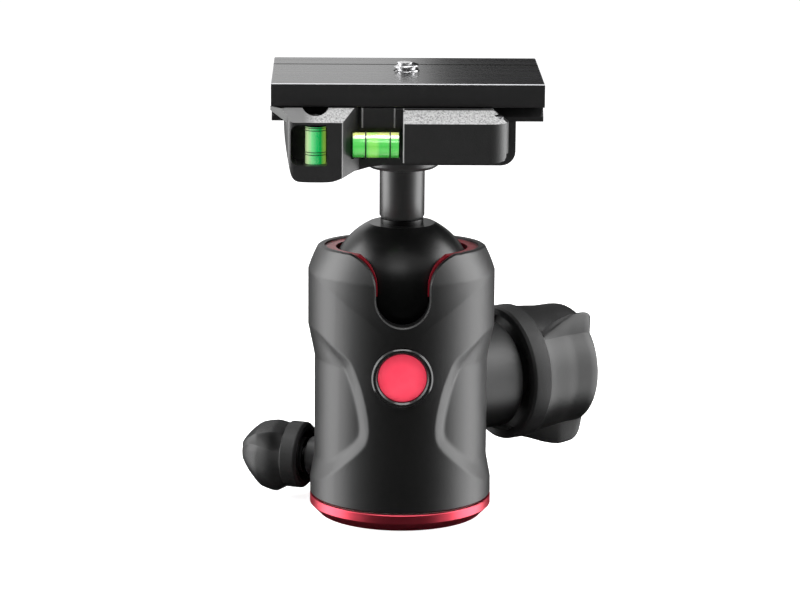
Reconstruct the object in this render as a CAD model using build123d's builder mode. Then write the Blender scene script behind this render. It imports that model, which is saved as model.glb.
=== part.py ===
"""Tripod ball head: a pan base, a ball that drops into a notch, and a quick-release clamp with its plate.

Millimetres, +Z up. The origin is the mouth of the tripod thread, on the underside of the base.
The notch for the stem faces -Y, the pan knob is on the -X side and the lock knob on the +X side.
"""
from build123d import *
from math import cos, exp, radians, sin, sqrt, tan
import os

os.makedirs("parts", exist_ok=True)

# ---------------------------------------------------------------- fits
running = 0.06  # radial clearance of a shaft that turns or slides in its bore
seat = 0.03  # radial clearance between pieces that are fixed together
ball_play = 0.10  # between the ball and each seat that it turns in
slide_play = 0.10  # between the plate's dovetail and the jaws

# ---------------------------------------------------------------- base
ring_radius = 23.45
ring_height = 4.6
ring_band_foot = 2.4
ring_foot_radius = 21.1
ring_edge = 0.15
core_radius = 18.6
core_lip_radius = 20.6
core_lip_height = 1.1
washer_radius = 22.0
washer_gap = 0.4
washer_play = 0.02
tripod_tap_radius = 3.97  # tapping size of a 3/8"-16 thread
thread_depth = 13.0
bushing_radius = 6.2
bushing_flange_radius = 8.0
bushing_flange_height = 1.2
spindle_radius = 9.0
spindle_foot_radius = 15.0
spindle_foot_height = 2.2
spindle_foot_floor = 2.4
base_screw_count = 3
base_screw_circle_radius = 12.0
base_screw_radius = 1.25
base_screw_head_radius = 2.3
base_screw_head_height = 1.3
base_screw_length = 4.0
nut_radius = 12.6
nut_height = 2.8
nut_gap = 0.5
spanner_hole_radius = 0.8
spanner_circle_radius = 10.6

# ---------------------------------------------------------------- housing
housing_foot = ring_height + washer_gap
foot_radius = 23.4
foot_band_top = 8.6
foot_edge = 0.4
shoulder_radius = 24.0
shoulder_foot_drop = 9.5  # below the ball's centre
shoulder_top_lift = 4.6  # above the ball's centre
bevel_mid_radius = 22.7
bevel_mid_lift = 8.1
bevel_top_radius = 20.7
bevel_top_lift = 12.1
rim_lift = 10.8
rim_rise = 0.05  # the rim climbs this much for each millimetre towards the notch
waist_radius = 22.3
waist_foot = 15.0
waist_top = 41.5
web_top = 18.4
guide_radius = 18.5
chamber_drop = 8.9
chamber_radius = 19.8

# ---------------------------------------------------------------- ball, notch and seats
ball_centre = 59.5
ball_radius = 18.7
ball_flat_lift = 16.65
ball_neck_radius = 5.5
ball_neck_lift = 17.8
stem_radius = 5.8
spigot_radius = 4.0
spigot_length = 12.0
spigot_end_play = 0.3
notch_half = 6.75
notch_lift = 0.55  # the notch's round bottom is centred this much above the ball's centre
notch_flare = 8.5
liner_lift = 1.1
liner_rim_depth = 0.5
liner_mouth_radius = 16.9
liner_notch_half = 6.35
seat_thickness = 1.2
seat_half_angle = 42.0
cup_thickness = 1.75
cup_drop = 10.9
cup_boss_radius = 6.5

# ---------------------------------------------------------------- badge
badge_height = 40.5
badge_recess_radius = 7.85
badge_depth = 2.2
bezel_bore_radius = 6.3
bezel_rise = 0.1
bezel_edge = 0.4
badge_radius = 6.15
badge_rise = 1.2
badge_proud = 0.3

# ---------------------------------------------------------------- ball lock
lock_azimuth = 32.5
lock_drop = 26.8  # of the lock's axis below the ball's centre
boss_radius = 14.0
boss_end = 29.7
boss_edge = 0.8
plunger_radius = 6.0
plunger_inner = -9.0
plunger_outer = 20.2
plunger_ramp_end = 9.0
plunger_guide_wall = 1.15
plunger_guide_root = 0.5
plunger_guide_inner = 11.6
wedge_angle = 10.0
wedge_lift = 3.9  # of the wedge face above the lock's axis
wedge_gap = 0.02
lock_travel = 1.875
lock_slack = 0.35  # left when the plunger is right out
lock_bush_radius = 7.0
lock_stud_radius = 3.98
lock_stud_inner = 16.5
lock_stud_end = 45.0
lock_stud_end_play = 1.0
lock_collar_radius = 5.6
lock_collar_inner = plunger_outer + lock_travel + lock_slack
lock_collar_thickness = 1.6
lock_collar_play = 0.1
lock_bush_inner = lock_collar_inner + lock_collar_thickness + lock_collar_play
plunger_bore_end = 14.0
knob_rim = 30.4
knob_hub_inner = 30.2
knob_rim_radius = 17.1
knob_collar_radius = 17.7
knob_collar_start = 31.1
knob_wing_start = 35.7
# Wings of the lock knob: distance out, radius between the wings, radius at their tips.
knob_sections = [
    (35.2, 17.3, 17.3),
    (38.5, 16.6, 18.8),
    (42.0, 16.3, 20.6),
    (45.5, 16.1, 21.4),
    (50.2, 16.3, 20.6),
    (52.4, 15.6, 18.6),
]
knob_end = knob_sections[-1][0]
knob_wing_angle = 51.5
knob_steep_spread = 9.0
knob_broad_spread = 12.0
knob_skirt = 1.7
knob_hollow_end = 35.0
hub_radius = 8.0
insert_radius = 5.6
cap_radius = 9.0
cap_thickness = 1.4
cap_inset = 0.5
cap_edge = 0.5
wing_count = 3

# ---------------------------------------------------------------- pan lock
pan_azimuth = 159.0
pan_height = 11.9
pad_radius = 3.5
pad_end = 13.7
pad_bore_end = 11.2
pan_bush_radius = 5.0
pan_bush_inner = 15.4
pan_bush_end = 25.0
pan_bush_edge = 0.3
pan_stud_radius = 2.95
pan_stud_end = 38.0
pan_tip_radius = 2.0
pan_tip_inner = 12.5
pan_tip_outer = 14.9
pan_rim = 26.0
pan_collar_radius = 8.7
pan_rim_radius = 8.1
pan_collar_start = 26.8
pan_wing_start = 30.6
# Wings of the pan knob: distance out, radius between the wings, radius at their tips.
pan_sections = [
    (30.1, 8.4, 8.4),
    (31.5, 7.9, 9.2),
    (33.8, 8.0, 10.2),
    (37.4, 7.5, 9.5),
    (40.4, 5.7, 6.9),
    (42.6, 3.7, 4.4),
    (43.8, 2.0, 2.3),
]
pan_wing_angle = 18.0
pan_broad_spread = 58.0
pan_steep_spread = 17.0
pan_skirt = 1.3
pan_hollow_end = 29.4
pan_hub_radius = 4.6

# ---------------------------------------------------------------- stem
flange_radius = 8.95
flange_height = 3.7
stem_reach = 34.8  # from the ball's centre to the clamp's underside
flange_cove = 2.1
flange_edge = 0.5
index_pin_radius = 1.0
index_pin_offset = 6.4
index_pin_length = 5.0
index_pin_play = 0.1

# ---------------------------------------------------------------- clamp
clamp_height = 15.0
jaw_depth = 3.9
clamp_left = -27.5
clamp_right = 27.9
clamp_back = 24.4
clamp_front = -19.0
clamp_bevel_height = 3.4
clamp_corner = 4.0
clamp_bevel_depth = 3.9
dovetail_lift = 0.05  # the dovetail's underside above the clamp's deck
flank_lift = 1.2  # of the dovetail's flank above the deck
dovetail_half = 19.0
clamp_bolt_radius = 3.0
clamp_bolt_head_radius = 5.4
clamp_bolt_head_height = 3.3
clamp_bolt_sink = 0.5
clamp_bolt_reach = 9.9  # into the stem
clamp_bolt_hex = 2.9
clamp_bolt_socket_floor = 0.8
clamp_bolt_end_play = 0.4

pod_left = -29.5
pod_right = -15.2
pod_front = -27.0
pod_drop = 3.1  # below the clamp's underside
pod_brow_drop = 3.1
pod_back_right = -11.7
pod_corner = 1.6
pod_taper = 1.4
pod_heel = 2.0  # how far in front of the clamp the pod starts to narrow
pod_root = 1.0  # how far each piece of the front runs into the clamp
window_left = -28.0
window_right = -19.1
window_lift = 0.8
window_brow = 4.0
window_back = -19.9
window_corner = 1.2
cradle_front = -25.6
cradle_lift = 1.2
cradle_height = 3.1
cradle_right = -0.8
cradle_chin = 7.6  # length of its sloping underside
cradle_chin_drop = 1.2
lip_reach = -33.3
lip_thickness = 1.2
lip_drop = 0.1  # of its top below the jaws
lip_root = 1.0
lip_corner = 1.4
lip_end = 0.6

level_radius = 3.5
level_left = -13.0
level_right = -1.0
level_y = -23.0
level_lift = 6.2
level_bore = 2.6
level_wall = 1.2
level_chamfer = 0.8
spirit_gap = 0.02
bubble_length = 3.2
bubble_width = 2.6
bubble_depth = 0.75
tower_radius = 2.8
tower_x = -21.9
tower_y = -23.6
tower_drop = 0.1
tower_depth = 4.3
tower_bore = 2.0
tower_wall = 1.0
plug_radius = 3.45
plug_height = 1.3

# ---------------------------------------------------------------- lever and jaw
lever_front = -27.0
lever_back = -22.6
lever_lift = 1.7
lever_brow_drop = 3.4
lever_left = -0.4
lever_corner = 1.0
lever_pivot_x = 23.2
lever_barrel_radius = 3.9
lever_pin_radius = 1.5
lever_pin_head_radius = 2.2
lever_pin_head_height = 0.6
lever_pin_head_gap = 0.02
lever_pin_roof = 1.4  # over the bore of the lever's pin
lever_pin_end_play = 0.4
lug_radius = 3.6
lug_lift = 0.3
lug_thickness = 1.1
jaw_left = -10.8
jaw_right = 13.2
jaw_front = -22.3
jaw_bar_drop = 1.2
jaw_leg_left = 5.0
jaw_leg_lift = 2.3
jaw_gap = 0.12
jaw_edge = 0.4
jaw_deck_gap = 0.2
jaw_leg_sink = 1.0
jaw_pin_sink = 0.05
guide_pin_end_play = 1.0
guide_pin_radius = 1.2
guide_pin_pitch = 5.0
guide_pin_lift = 5.1
guide_pin_depth = 8.0
spring_well_radius = 2.2
spring_well_depth = 5.6
jaw_spring_radius = 1.75
jaw_spring_wire = 0.22
jaw_spring_pitch = 0.9
jaw_spring_length = 4.5
lever_spring_radius = 2.15
lever_spring_wire = 0.25
lever_spring_pitch = 0.9
lever_spring_length = 3.0
spring_end_play = 0.2
lever_well_radius = 2.8
lever_well_depth = 4.7

# ---------------------------------------------------------------- plate and camera screw
plate_left = -33.1
plate_length = 68.0
plate_half_width = 22.5
plate_gap = 0.3  # between the jaws and the slab
slab_thickness = 6.1
plate_edge = 0.45
dovetail_inset = 0.6
dovetail_neck_half = 16.0
groove_y = 10.5
groove_width = 1.0
groove_depth = 0.6
screw_radius = 3.175  # 1/4"-20 thread
screw_rise = 3.4
screw_head_radius = 6.0
screw_head_height = 2.4
screw_head_lift = 0.7
screw_slot = 1.3
screw_slot_depth = 1.1
screw_well_radius = 7.0
screw_well_sink = 0.2
clip_radius = 5.4
clip_thickness = 0.7
clip_gap = 0.25
screw_neck_radius = 2.6
screw_neck_rise = 0.25  # of the relieved neck above the plate
screw_chamfer = 0.6
screw_play = 0.15

# ---------------------------------------------------------------- derived places
shoulder_foot = ball_centre - shoulder_foot_drop
shoulder_top = ball_centre + shoulder_top_lift
bevel_mid_height = ball_centre + bevel_mid_lift
bevel_top_height = ball_centre + bevel_top_lift
rim_height = ball_centre + rim_lift
chamber_foot = ball_centre - chamber_drop
liner_foot = ball_centre + liner_lift
cup_top = ball_centre - cup_drop
ball_flat = ball_centre + ball_flat_lift
stem_foot = ball_centre + ball_neck_lift
lock_height = ball_centre - lock_drop
wedge_height = lock_height + wedge_lift
flange_top = ball_centre + stem_reach
flange_foot = flange_top - flange_height
jaw_top = flange_top + clamp_height
deck_height = jaw_top - jaw_depth
flank_foot = deck_height + flank_lift
clamp_bolt_top = deck_height - clamp_bolt_sink
clamp_bolt_seat = clamp_bolt_top - clamp_bolt_head_height
clamp_bolt_foot = flange_top - clamp_bolt_reach
pod_foot = flange_top - pod_drop
pod_brow = jaw_top - pod_brow_drop
window_foot = flange_top + window_lift
window_top = jaw_top - window_brow
cradle_foot = flange_top + cradle_lift
cradle_top = cradle_foot + cradle_height
level_height = flange_top + level_lift
tower_foot = flange_top - tower_drop
tower_top = jaw_top - tower_depth
lever_foot = flange_top + lever_lift
lever_brow = jaw_top - lever_brow_drop
lug_foot = flange_top + lug_lift
lug_top = lug_foot + lug_thickness
jaw_bar_foot = deck_height - jaw_bar_drop
jaw_leg_foot = flange_top + jaw_leg_lift
guide_pin_height = flange_top + guide_pin_lift
lever_well_top = lug_top + lever_well_depth
slab_foot = jaw_top + plate_gap
plate_top = slab_foot + slab_thickness
screw_head_foot = deck_height + screw_head_lift
clip_foot = screw_head_foot + screw_head_height + clip_gap
lock_direction = Vector(cos(radians(lock_azimuth)), sin(radians(lock_azimuth)), 0)
pan_direction = Vector(cos(radians(pan_azimuth)), sin(radians(pan_azimuth)), 0)
seat_inner = ball_radius + ball_play
seat_outer = seat_inner + seat_thickness
cup_inner = seat_outer + ball_play
cup_outer = cup_inner + cup_thickness
notch_centre = ball_centre + notch_lift
notch_top = rim_height + rim_rise * sqrt(shoulder_radius**2 - (notch_half + notch_flare) ** 2)
plate_centre = plate_left + plate_length / 2


def side_plane(direction, height):
    """A plane through the Z axis: x runs outwards along the direction, y is up, at the given height."""
    across = Vector(direction.Y, -direction.X, 0)
    return Plane(origin=(0, 0, height), x_dir=direction, z_dir=across)


def across_plane(direction, height, distance):
    """A plane square to a horizontal axis, at a distance out from the Z axis, with its x up."""
    centre = direction * distance + Vector(0, 0, height)
    return Plane(origin=centre, x_dir=(0, 0, 1), z_dir=direction)


def outline(plane, *points):
    """The flat face inside a closed outline of straight runs."""
    with BuildSketch(plane) as face:
        with BuildLine():
            Polyline(*points, close=True)
        make_face()
    return face.sketch


def ring_face(plane, outer, inner=0.0):
    """A round face, with a hole if an inner radius is given."""
    with BuildSketch(plane) as face:
        Circle(outer)
        if inner:
            Circle(inner, mode=Mode.SUBTRACT)
    return face.sketch


def winged_face(plane, valley, tip, first_angle, spread_below, spread_above):
    """A round face with wings whose flanks spread below and above their crests; angles from the level."""
    points = []
    steps = 72
    for step in range(steps):
        angle = 360 / steps * step
        rise = 0.0
        for wing in range(wing_count):
            away = (angle - first_angle - 360 / wing_count * wing + 180) % 360 - 180
            spread = spread_below if away < 0 else spread_above
            rise += exp(-((away / spread) ** 2))
        radius = valley + (tip - valley) * rise
        points.append((radius * sin(radians(angle)), radius * cos(radians(angle))))
    with BuildSketch(plane) as face:
        with BuildLine():
            Spline(*points, periodic=True)
        make_face()
    return face.sketch


def notch_face(half):
    """The stem's notch of a given half width: a round bottom, straight walls and rounded upper corners."""
    flare = notch_half + notch_flare - half
    corner_height = notch_top - notch_flare
    with BuildSketch(Plane.XZ) as face:
        with BuildLine():
            Line((-half, notch_centre), (-half, corner_height))
            RadiusArc((-half, corner_height), (-half - flare, corner_height + flare), -flare)
            Polyline(
                (-half - flare, corner_height + flare),
                (-half - flare, 2 * notch_top),
                (half + flare, 2 * notch_top),
                (half + flare, corner_height + flare),
            )
            RadiusArc((half + flare, corner_height + flare), (half, corner_height), -flare)
            Line((half, corner_height), (half, notch_centre))
            ThreePointArc((half, notch_centre), (0, notch_centre - half), (-half, notch_centre))
        make_face()
    return face.sketch


lock_side = side_plane(lock_direction, lock_height)
pan_side = side_plane(pan_direction, pan_height)
lock_axis = Axis(lock_side.origin, lock_direction)
pan_axis = Axis(pan_side.origin, pan_direction)
rim_plane = Plane(origin=(0, 0, rim_height), z_dir=(0, rim_rise, 1))
top_view = Plane.XY
front_view = Plane.XZ

# ================================================================ base
with BuildPart() as base_ring:
    revolve(
        outline(
            front_view,
            (core_radius, 0),
            (ring_foot_radius, 0),
            (ring_radius, ring_band_foot),
            (ring_radius, ring_height - ring_edge),
            (ring_radius - ring_edge, ring_height),
            (core_lip_radius, ring_height),
            (core_lip_radius, ring_height - core_lip_height),
            (core_radius, ring_height - core_lip_height),
        ),
        axis=Axis.Z,
    )
base_ring.part.label = "base_ring"
export_step(base_ring.part, "parts/base_ring.step")

with BuildPart() as base_plate:
    extrude(ring_face(top_view, core_radius - seat), amount=ring_height)
    extrude(
        ring_face(Plane.XY.offset(ring_height - core_lip_height + seat), core_lip_radius - seat),
        amount=core_lip_height - seat,
    )
    extrude(
        ring_face(Plane.XY.offset(spindle_foot_floor), spindle_foot_radius + seat),
        amount=ring_height,
        mode=Mode.SUBTRACT,
    )
    extrude(ring_face(top_view, bushing_radius + seat), amount=ring_height, mode=Mode.SUBTRACT)
    extrude(
        ring_face(top_view, bushing_flange_radius + seat),
        amount=bushing_flange_height,
        mode=Mode.SUBTRACT,
    )
    with PolarLocations(base_screw_circle_radius, base_screw_count, start_angle=90):
        Cylinder(base_screw_radius + seat, 3 * ring_height, mode=Mode.SUBTRACT)
        Cylinder(base_screw_head_radius + seat, 2 * base_screw_head_height, mode=Mode.SUBTRACT)
base_plate.part.label = "base_plate"
export_step(base_plate.part, "parts/base_plate.step")

with BuildPart() as thread_bushing:
    extrude(ring_face(top_view, bushing_radius, tripod_tap_radius), amount=thread_depth)
    extrude(ring_face(top_view, bushing_flange_radius, tripod_tap_radius), amount=bushing_flange_height)
thread_bushing.part.label = "thread_bushing"
export_step(thread_bushing.part, "parts/thread_bushing.step")

nut_foot = web_top + running + nut_gap
spindle_top = nut_foot + nut_height
with BuildPart() as pan_spindle:
    extrude(ring_face(Plane.XY.offset(spindle_foot_floor), spindle_foot_radius), amount=spindle_foot_height)
    extrude(
        ring_face(Plane.XY.offset(spindle_foot_floor), spindle_radius),
        amount=spindle_top - spindle_foot_floor,
    )
    extrude(
        ring_face(Plane.XY.offset(spindle_foot_floor), bushing_radius + seat),
        amount=thread_depth - spindle_foot_floor + seat,
        mode=Mode.SUBTRACT,
    )
    with Locations(Plane.XY.offset(spindle_foot_floor)):
        with PolarLocations(base_screw_circle_radius, base_screw_count, start_angle=90):
            Cylinder(
                base_screw_radius + seat,
                base_screw_length - spindle_foot_floor + seat,
                align=(Align.CENTER, Align.CENTER, Align.MIN),
                mode=Mode.SUBTRACT,
            )
pan_spindle.part.label = "pan_spindle"
export_step(pan_spindle.part, "parts/pan_spindle.step")

with BuildPart() as base_screws:
    with PolarLocations(base_screw_circle_radius, base_screw_count, start_angle=90):
        Cylinder(
            base_screw_head_radius,
            base_screw_head_height,
            align=(Align.CENTER, Align.CENTER, Align.MIN),
        )
        Cylinder(
            base_screw_radius,
            base_screw_length,
            align=(Align.CENTER, Align.CENTER, Align.MIN),
        )
        Box(
            base_screw_head_radius * 1.5,
            base_screw_radius / 2,
            base_screw_head_height / 2,
            align=(Align.CENTER, Align.CENTER, Align.MIN),
            mode=Mode.SUBTRACT,
        )
base_screws.part.label = "base_screws"
export_step(base_screws.part, "parts/base_screws.step")

with BuildPart() as pan_washer:
    extrude(
        ring_face(Plane.XY.offset(ring_height), washer_radius, spindle_radius + running),
        amount=washer_gap - washer_play,
    )
pan_washer.part.label = "pan_washer"
export_step(pan_washer.part, "parts/pan_washer.step")

with BuildPart() as nut_washer:
    extrude(
        ring_face(Plane.XY.offset(web_top + running), nut_radius, spindle_radius + running),
        amount=nut_foot - web_top - running,
    )
nut_washer.part.label = "nut_washer"
export_step(nut_washer.part, "parts/nut_washer.step")

with BuildPart() as spindle_nut:
    extrude(
        ring_face(Plane.XY.offset(nut_foot), nut_radius, spindle_radius + seat),
        amount=nut_height,
    )
    with PolarLocations(spanner_circle_radius, 4):
        Cylinder(spanner_hole_radius, 2 * spindle_top + nut_height, mode=Mode.SUBTRACT)
spindle_nut.part.label = "spindle_nut"
export_step(spindle_nut.part, "parts/spindle_nut.step")

# ================================================================ housing
# Edge of one side scoop on the shoulder's cylinder: azimuth from the notch, and height.
scoop_edge = [
    (70.0, 50.7),
    (59.0, 49.6),
    (44.0, 46.8),
    (32.5, 44.4),
    (31.0, 41.8),
    (24.5, 37.0),
    (20.3, 29.3),
    (20.3, 24.1),
    (24.3, 21.3),
    (40.5, 15.6),
    (54.6, 11.7),
]
scoop_far = 30.0
scoop_foot_lift = 0.2
scoop_beyond = 42.0
scoop_plane_y = 26.0
scoop_ramp_reach = 4.4
scoop_foot = foot_band_top + scoop_foot_lift


def scoop_outline(plane, shift, slanted):
    """The side region beyond a scoop's edge; slanted carries the edge on to the plane at 45 degrees."""
    points = [(-scoop_beyond, scoop_edge[0][1])]
    for azimuth, height in scoop_edge:
        x = -shoulder_radius * sin(radians(azimuth))
        y = shoulder_radius * cos(radians(azimuth))
        points.append((x + (scoop_plane_y - y if slanted else 0) - shift, height))
    points.append((-scoop_beyond, scoop_edge[-1][1]))
    return outline(plane, *points)


with BuildPart() as scoops:
    extrude(
        scoop_outline(Plane.XZ.offset(scoop_plane_y), 0, True),
        amount=scoop_far,
        dir=(-1, 1, 0),
    )
    mirror(about=Plane.XZ)
    extrude(scoop_outline(front_view, scoop_ramp_reach, False), amount=scoop_plane_y, both=True)
    revolve(
        outline(
            front_view,
            (waist_radius, waist_foot),
            (waist_radius, waist_top),
            (shoulder_radius, shoulder_foot),
            (scoop_far, shoulder_foot),
            (scoop_far, scoop_foot),
            (foot_radius, scoop_foot),
        ),
        axis=Axis.Z,
        mode=Mode.INTERSECT,
    )
    mirror(about=Plane.YZ)

with BuildPart() as housing:
    with BuildSketch(front_view) as body_profile:
        with BuildLine():
            Polyline(
                (0, bevel_top_height),
                (0, housing_foot),
                (foot_radius - foot_edge, housing_foot),
                (foot_radius, housing_foot + foot_edge),
                (foot_radius, foot_band_top),
                (shoulder_radius, shoulder_foot),
                (shoulder_radius, shoulder_top),
            )
            ThreePointArc(
                (shoulder_radius, shoulder_top),
                (bevel_mid_radius, bevel_mid_height),
                (bevel_top_radius, bevel_top_height),
            )
            Line((bevel_top_radius, bevel_top_height), (0, bevel_top_height))
        make_face()
    revolve(body_profile.sketch, axis=Axis.Z)
    add(scoops.part, mode=Mode.SUBTRACT)
    extrude(ring_face(rim_plane, 2 * shoulder_radius), amount=shoulder_radius, mode=Mode.SUBTRACT)
    # The cast boss that the lock knob's stud comes out of.
    revolve(
        outline(
            lock_side,
            (guide_radius, 0),
            (guide_radius, boss_radius),
            (boss_end - boss_edge, boss_radius),
            (boss_end, boss_radius - boss_edge),
            (boss_end, 0),
        ),
        axis=lock_axis,
    )
    # The well for the spindle nut, the cup's guide and the ball's chamber.
    revolve(
        outline(
            front_view,
            (0, web_top),
            (guide_radius, web_top),
            (guide_radius, chamber_foot),
            (chamber_radius, chamber_foot),
            (chamber_radius, bevel_top_height + shoulder_radius),
            (0, bevel_top_height + shoulder_radius),
        ),
        axis=Axis.Z,
        mode=Mode.SUBTRACT,
    )
    extrude(
        ring_face(across_plane(lock_direction, lock_height, plunger_guide_inner), plunger_radius + running
                  + plunger_guide_wall),
        amount=guide_radius - plunger_guide_inner + plunger_guide_root,
    )
    extrude(
        ring_face(across_plane(lock_direction, lock_height, plunger_guide_inner), plunger_radius + running),
        amount=boss_end - plunger_guide_inner,
        mode=Mode.SUBTRACT,
    )
    extrude(
        ring_face(
            across_plane(lock_direction, lock_height, lock_collar_inner - lock_collar_play),
            lock_bush_radius + seat,
        ),
        amount=boss_end,
        mode=Mode.SUBTRACT,
    )
    extrude(
        ring_face(Plane.XY.offset(housing_foot), spindle_radius + running),
        amount=web_top,
        mode=Mode.SUBTRACT,
    )
    extrude(
        ring_face(across_plane(pan_direction, pan_height, 0), pad_radius + running),
        amount=pan_bush_inner,
        mode=Mode.SUBTRACT,
    )
    extrude(
        ring_face(across_plane(pan_direction, pan_height, pan_bush_inner), pan_bush_radius + seat),
        amount=pan_bush_inner,
        mode=Mode.SUBTRACT,
    )
    # The recess of the round badge.
    extrude(
        ring_face(
            across_plane(Vector(0, -1, 0), badge_height, shoulder_radius - badge_depth),
            badge_recess_radius,
        ),
        amount=shoulder_radius,
        mode=Mode.SUBTRACT,
    )
    # The notch that the stem drops into, with a round bottom and rounded upper corners.
    extrude(notch_face(notch_half), amount=scoop_far, mode=Mode.SUBTRACT)
housing.part.label = "housing"
export_step(housing.part, "parts/housing.step")

with BuildPart() as ball_liner:
    extrude(
        ring_face(Plane.XY.offset(liner_foot), chamber_radius - seat),
        amount=bevel_top_height - liner_foot,
    )
    with Locations((0, 0, ball_centre)):
        Sphere(seat_inner, mode=Mode.SUBTRACT)
    extrude(
        ring_face(Plane.XY.offset(ball_centre), liner_mouth_radius),
        amount=ball_radius,
        mode=Mode.SUBTRACT,
    )
    extrude(
        ring_face(rim_plane.offset(-liner_rim_depth), 2 * shoulder_radius),
        amount=shoulder_radius,
        mode=Mode.SUBTRACT,
    )
    extrude(notch_face(liner_notch_half), amount=scoop_far, mode=Mode.SUBTRACT)
ball_liner.part.label = "ball_liner"
export_step(ball_liner.part, "parts/ball_liner.step")

badge_plane = across_plane(Vector(0, -1, 0), badge_height, shoulder_radius - badge_depth + seat)
with BuildPart() as badge_bezel:
    extrude(
        ring_face(badge_plane, badge_recess_radius - 2 * seat, bezel_bore_radius),
        amount=badge_depth + bezel_rise,
    )
    chamfer(badge_bezel.faces().sort_by(Axis.Y)[0].edges(), bezel_edge)
badge_bezel.part.label = "badge_bezel"
export_step(badge_bezel.part, "parts/badge_bezel.step")

dome_radius = (badge_radius**2 + badge_rise**2) / (2 * badge_rise)
with BuildPart() as badge_disc:
    extrude(ring_face(badge_plane, badge_radius), amount=badge_depth + badge_rise)
    with Locations((0, dome_radius - shoulder_radius - badge_proud, badge_height)):
        Sphere(dome_radius, mode=Mode.INTERSECT)
badge_disc.part.label = "badge_disc"
export_step(badge_disc.part, "parts/badge_disc.step")

# ================================================================ ball lock
with BuildPart() as lock_bush:
    extrude(
        ring_face(
            across_plane(lock_direction, lock_height, lock_bush_inner),
            lock_bush_radius,
            lock_stud_radius + running,
        ),
        amount=boss_end - lock_bush_inner,
    )
lock_bush.part.label = "lock_bush"
export_step(lock_bush.part, "parts/lock_bush.step")

wedge_rise = tan(radians(wedge_angle))
wedge_flat = wedge_height - lock_height
with BuildPart() as lock_plunger:
    extrude(
        ring_face(across_plane(lock_direction, lock_height, plunger_inner), plunger_radius),
        amount=plunger_outer - plunger_inner,
    )
    extrude(
        outline(
            lock_side,
            (plunger_inner - plunger_radius, wedge_flat + (plunger_inner - plunger_radius) * wedge_rise),
            (plunger_ramp_end, wedge_flat + plunger_ramp_end * wedge_rise),
            (plunger_ramp_end, 2 * plunger_radius),
            (plunger_inner - plunger_radius, 2 * plunger_radius),
        ),
        amount=2 * plunger_radius,
        both=True,
        mode=Mode.SUBTRACT,
    )
    extrude(
        ring_face(
            across_plane(lock_direction, lock_height, plunger_bore_end), lock_stud_radius + running
        ),
        amount=plunger_outer,
        mode=Mode.SUBTRACT,
    )
lock_plunger.part.label = "lock_plunger"
export_step(lock_plunger.part, "parts/lock_plunger.step")

with BuildPart() as lock_stud:
    extrude(
        ring_face(across_plane(lock_direction, lock_height, lock_stud_inner), lock_stud_radius),
        amount=lock_stud_end - lock_stud_inner,
    )
    extrude(
        ring_face(across_plane(lock_direction, lock_height, lock_collar_inner), lock_collar_radius),
        amount=lock_collar_thickness,
    )
lock_stud.part.label = "lock_stud"
export_step(lock_stud.part, "parts/lock_stud.step")

with BuildPart() as lock_knob:
    revolve(
        outline(
            lock_side,
            (knob_rim, 0),
            (knob_rim, knob_rim_radius),
            (knob_collar_start, knob_collar_radius),
            (knob_wing_start, knob_collar_radius),
            (knob_wing_start, 0),
        ),
        axis=lock_axis,
    )
    loft(
        [
            winged_face(
                across_plane(lock_direction, lock_height, distance),
                valley,
                tip,
                knob_wing_angle,
                knob_steep_spread,
                knob_broad_spread,
            )
            for distance, valley, tip in knob_sections
        ]
    )
    extrude(
        ring_face(across_plane(lock_direction, lock_height, knob_rim), knob_rim_radius - knob_skirt),
        amount=knob_hollow_end - knob_rim,
        mode=Mode.SUBTRACT,
    )
    extrude(
        ring_face(across_plane(lock_direction, lock_height, knob_hub_inner), hub_radius),
        amount=knob_hollow_end - knob_hub_inner,
    )
    extrude(
        ring_face(across_plane(lock_direction, lock_height, knob_hub_inner), insert_radius + seat),
        amount=lock_stud_end + lock_stud_end_play - knob_hub_inner,
        mode=Mode.SUBTRACT,
    )
    extrude(
        ring_face(
            across_plane(lock_direction, lock_height, knob_end - cap_inset - cap_thickness),
            cap_radius + seat,
        ),
        amount=knob_end,
        mode=Mode.SUBTRACT,
    )
lock_knob.part.label = "lock_knob"
export_step(lock_knob.part, "parts/lock_knob.step")

with BuildPart() as lock_knob_insert:
    extrude(
        ring_face(
            across_plane(lock_direction, lock_height, knob_hub_inner),
            insert_radius,
            lock_stud_radius + seat,
        ),
        amount=lock_stud_end + lock_stud_end_play - knob_hub_inner,
    )
lock_knob_insert.part.label = "lock_knob_insert"
export_step(lock_knob_insert.part, "parts/lock_knob_insert.step")

with BuildPart() as lock_knob_cap:
    extrude(
        ring_face(
            across_plane(lock_direction, lock_height, knob_end - cap_inset - cap_thickness + seat),
            cap_radius,
        ),
        amount=cap_thickness,
    )
    chamfer(lock_knob_cap.faces().sort_by(lock_axis)[-1].edges(), cap_edge)
lock_knob_cap.part.label = "lock_knob_cap"
export_step(lock_knob_cap.part, "parts/lock_knob_cap.step")

with BuildPart() as ball_cup:
    with Locations((0, 0, ball_centre)):
        Sphere(cup_outer)
    extrude(
        ring_face(Plane.XY.offset(lock_height), cup_boss_radius),
        amount=cup_top - lock_height,
    )
    extrude(
        ring_face(Plane.XY.offset(web_top), guide_radius - running),
        amount=cup_top - web_top,
        mode=Mode.INTERSECT,
    )
    with Locations((0, 0, ball_centre)):
        Sphere(cup_inner, mode=Mode.SUBTRACT)
    extrude(
        outline(
            lock_side,
            (-shoulder_radius, wedge_flat - shoulder_radius * wedge_rise + wedge_gap),
            (shoulder_radius, wedge_flat + shoulder_radius * wedge_rise + wedge_gap),
            (shoulder_radius, -lock_height),
            (-shoulder_radius, -lock_height),
        ),
        amount=shoulder_radius,
        both=True,
        mode=Mode.SUBTRACT,
    )
ball_cup.part.label = "ball_cup"
export_step(ball_cup.part, "parts/ball_cup.step")

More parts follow.
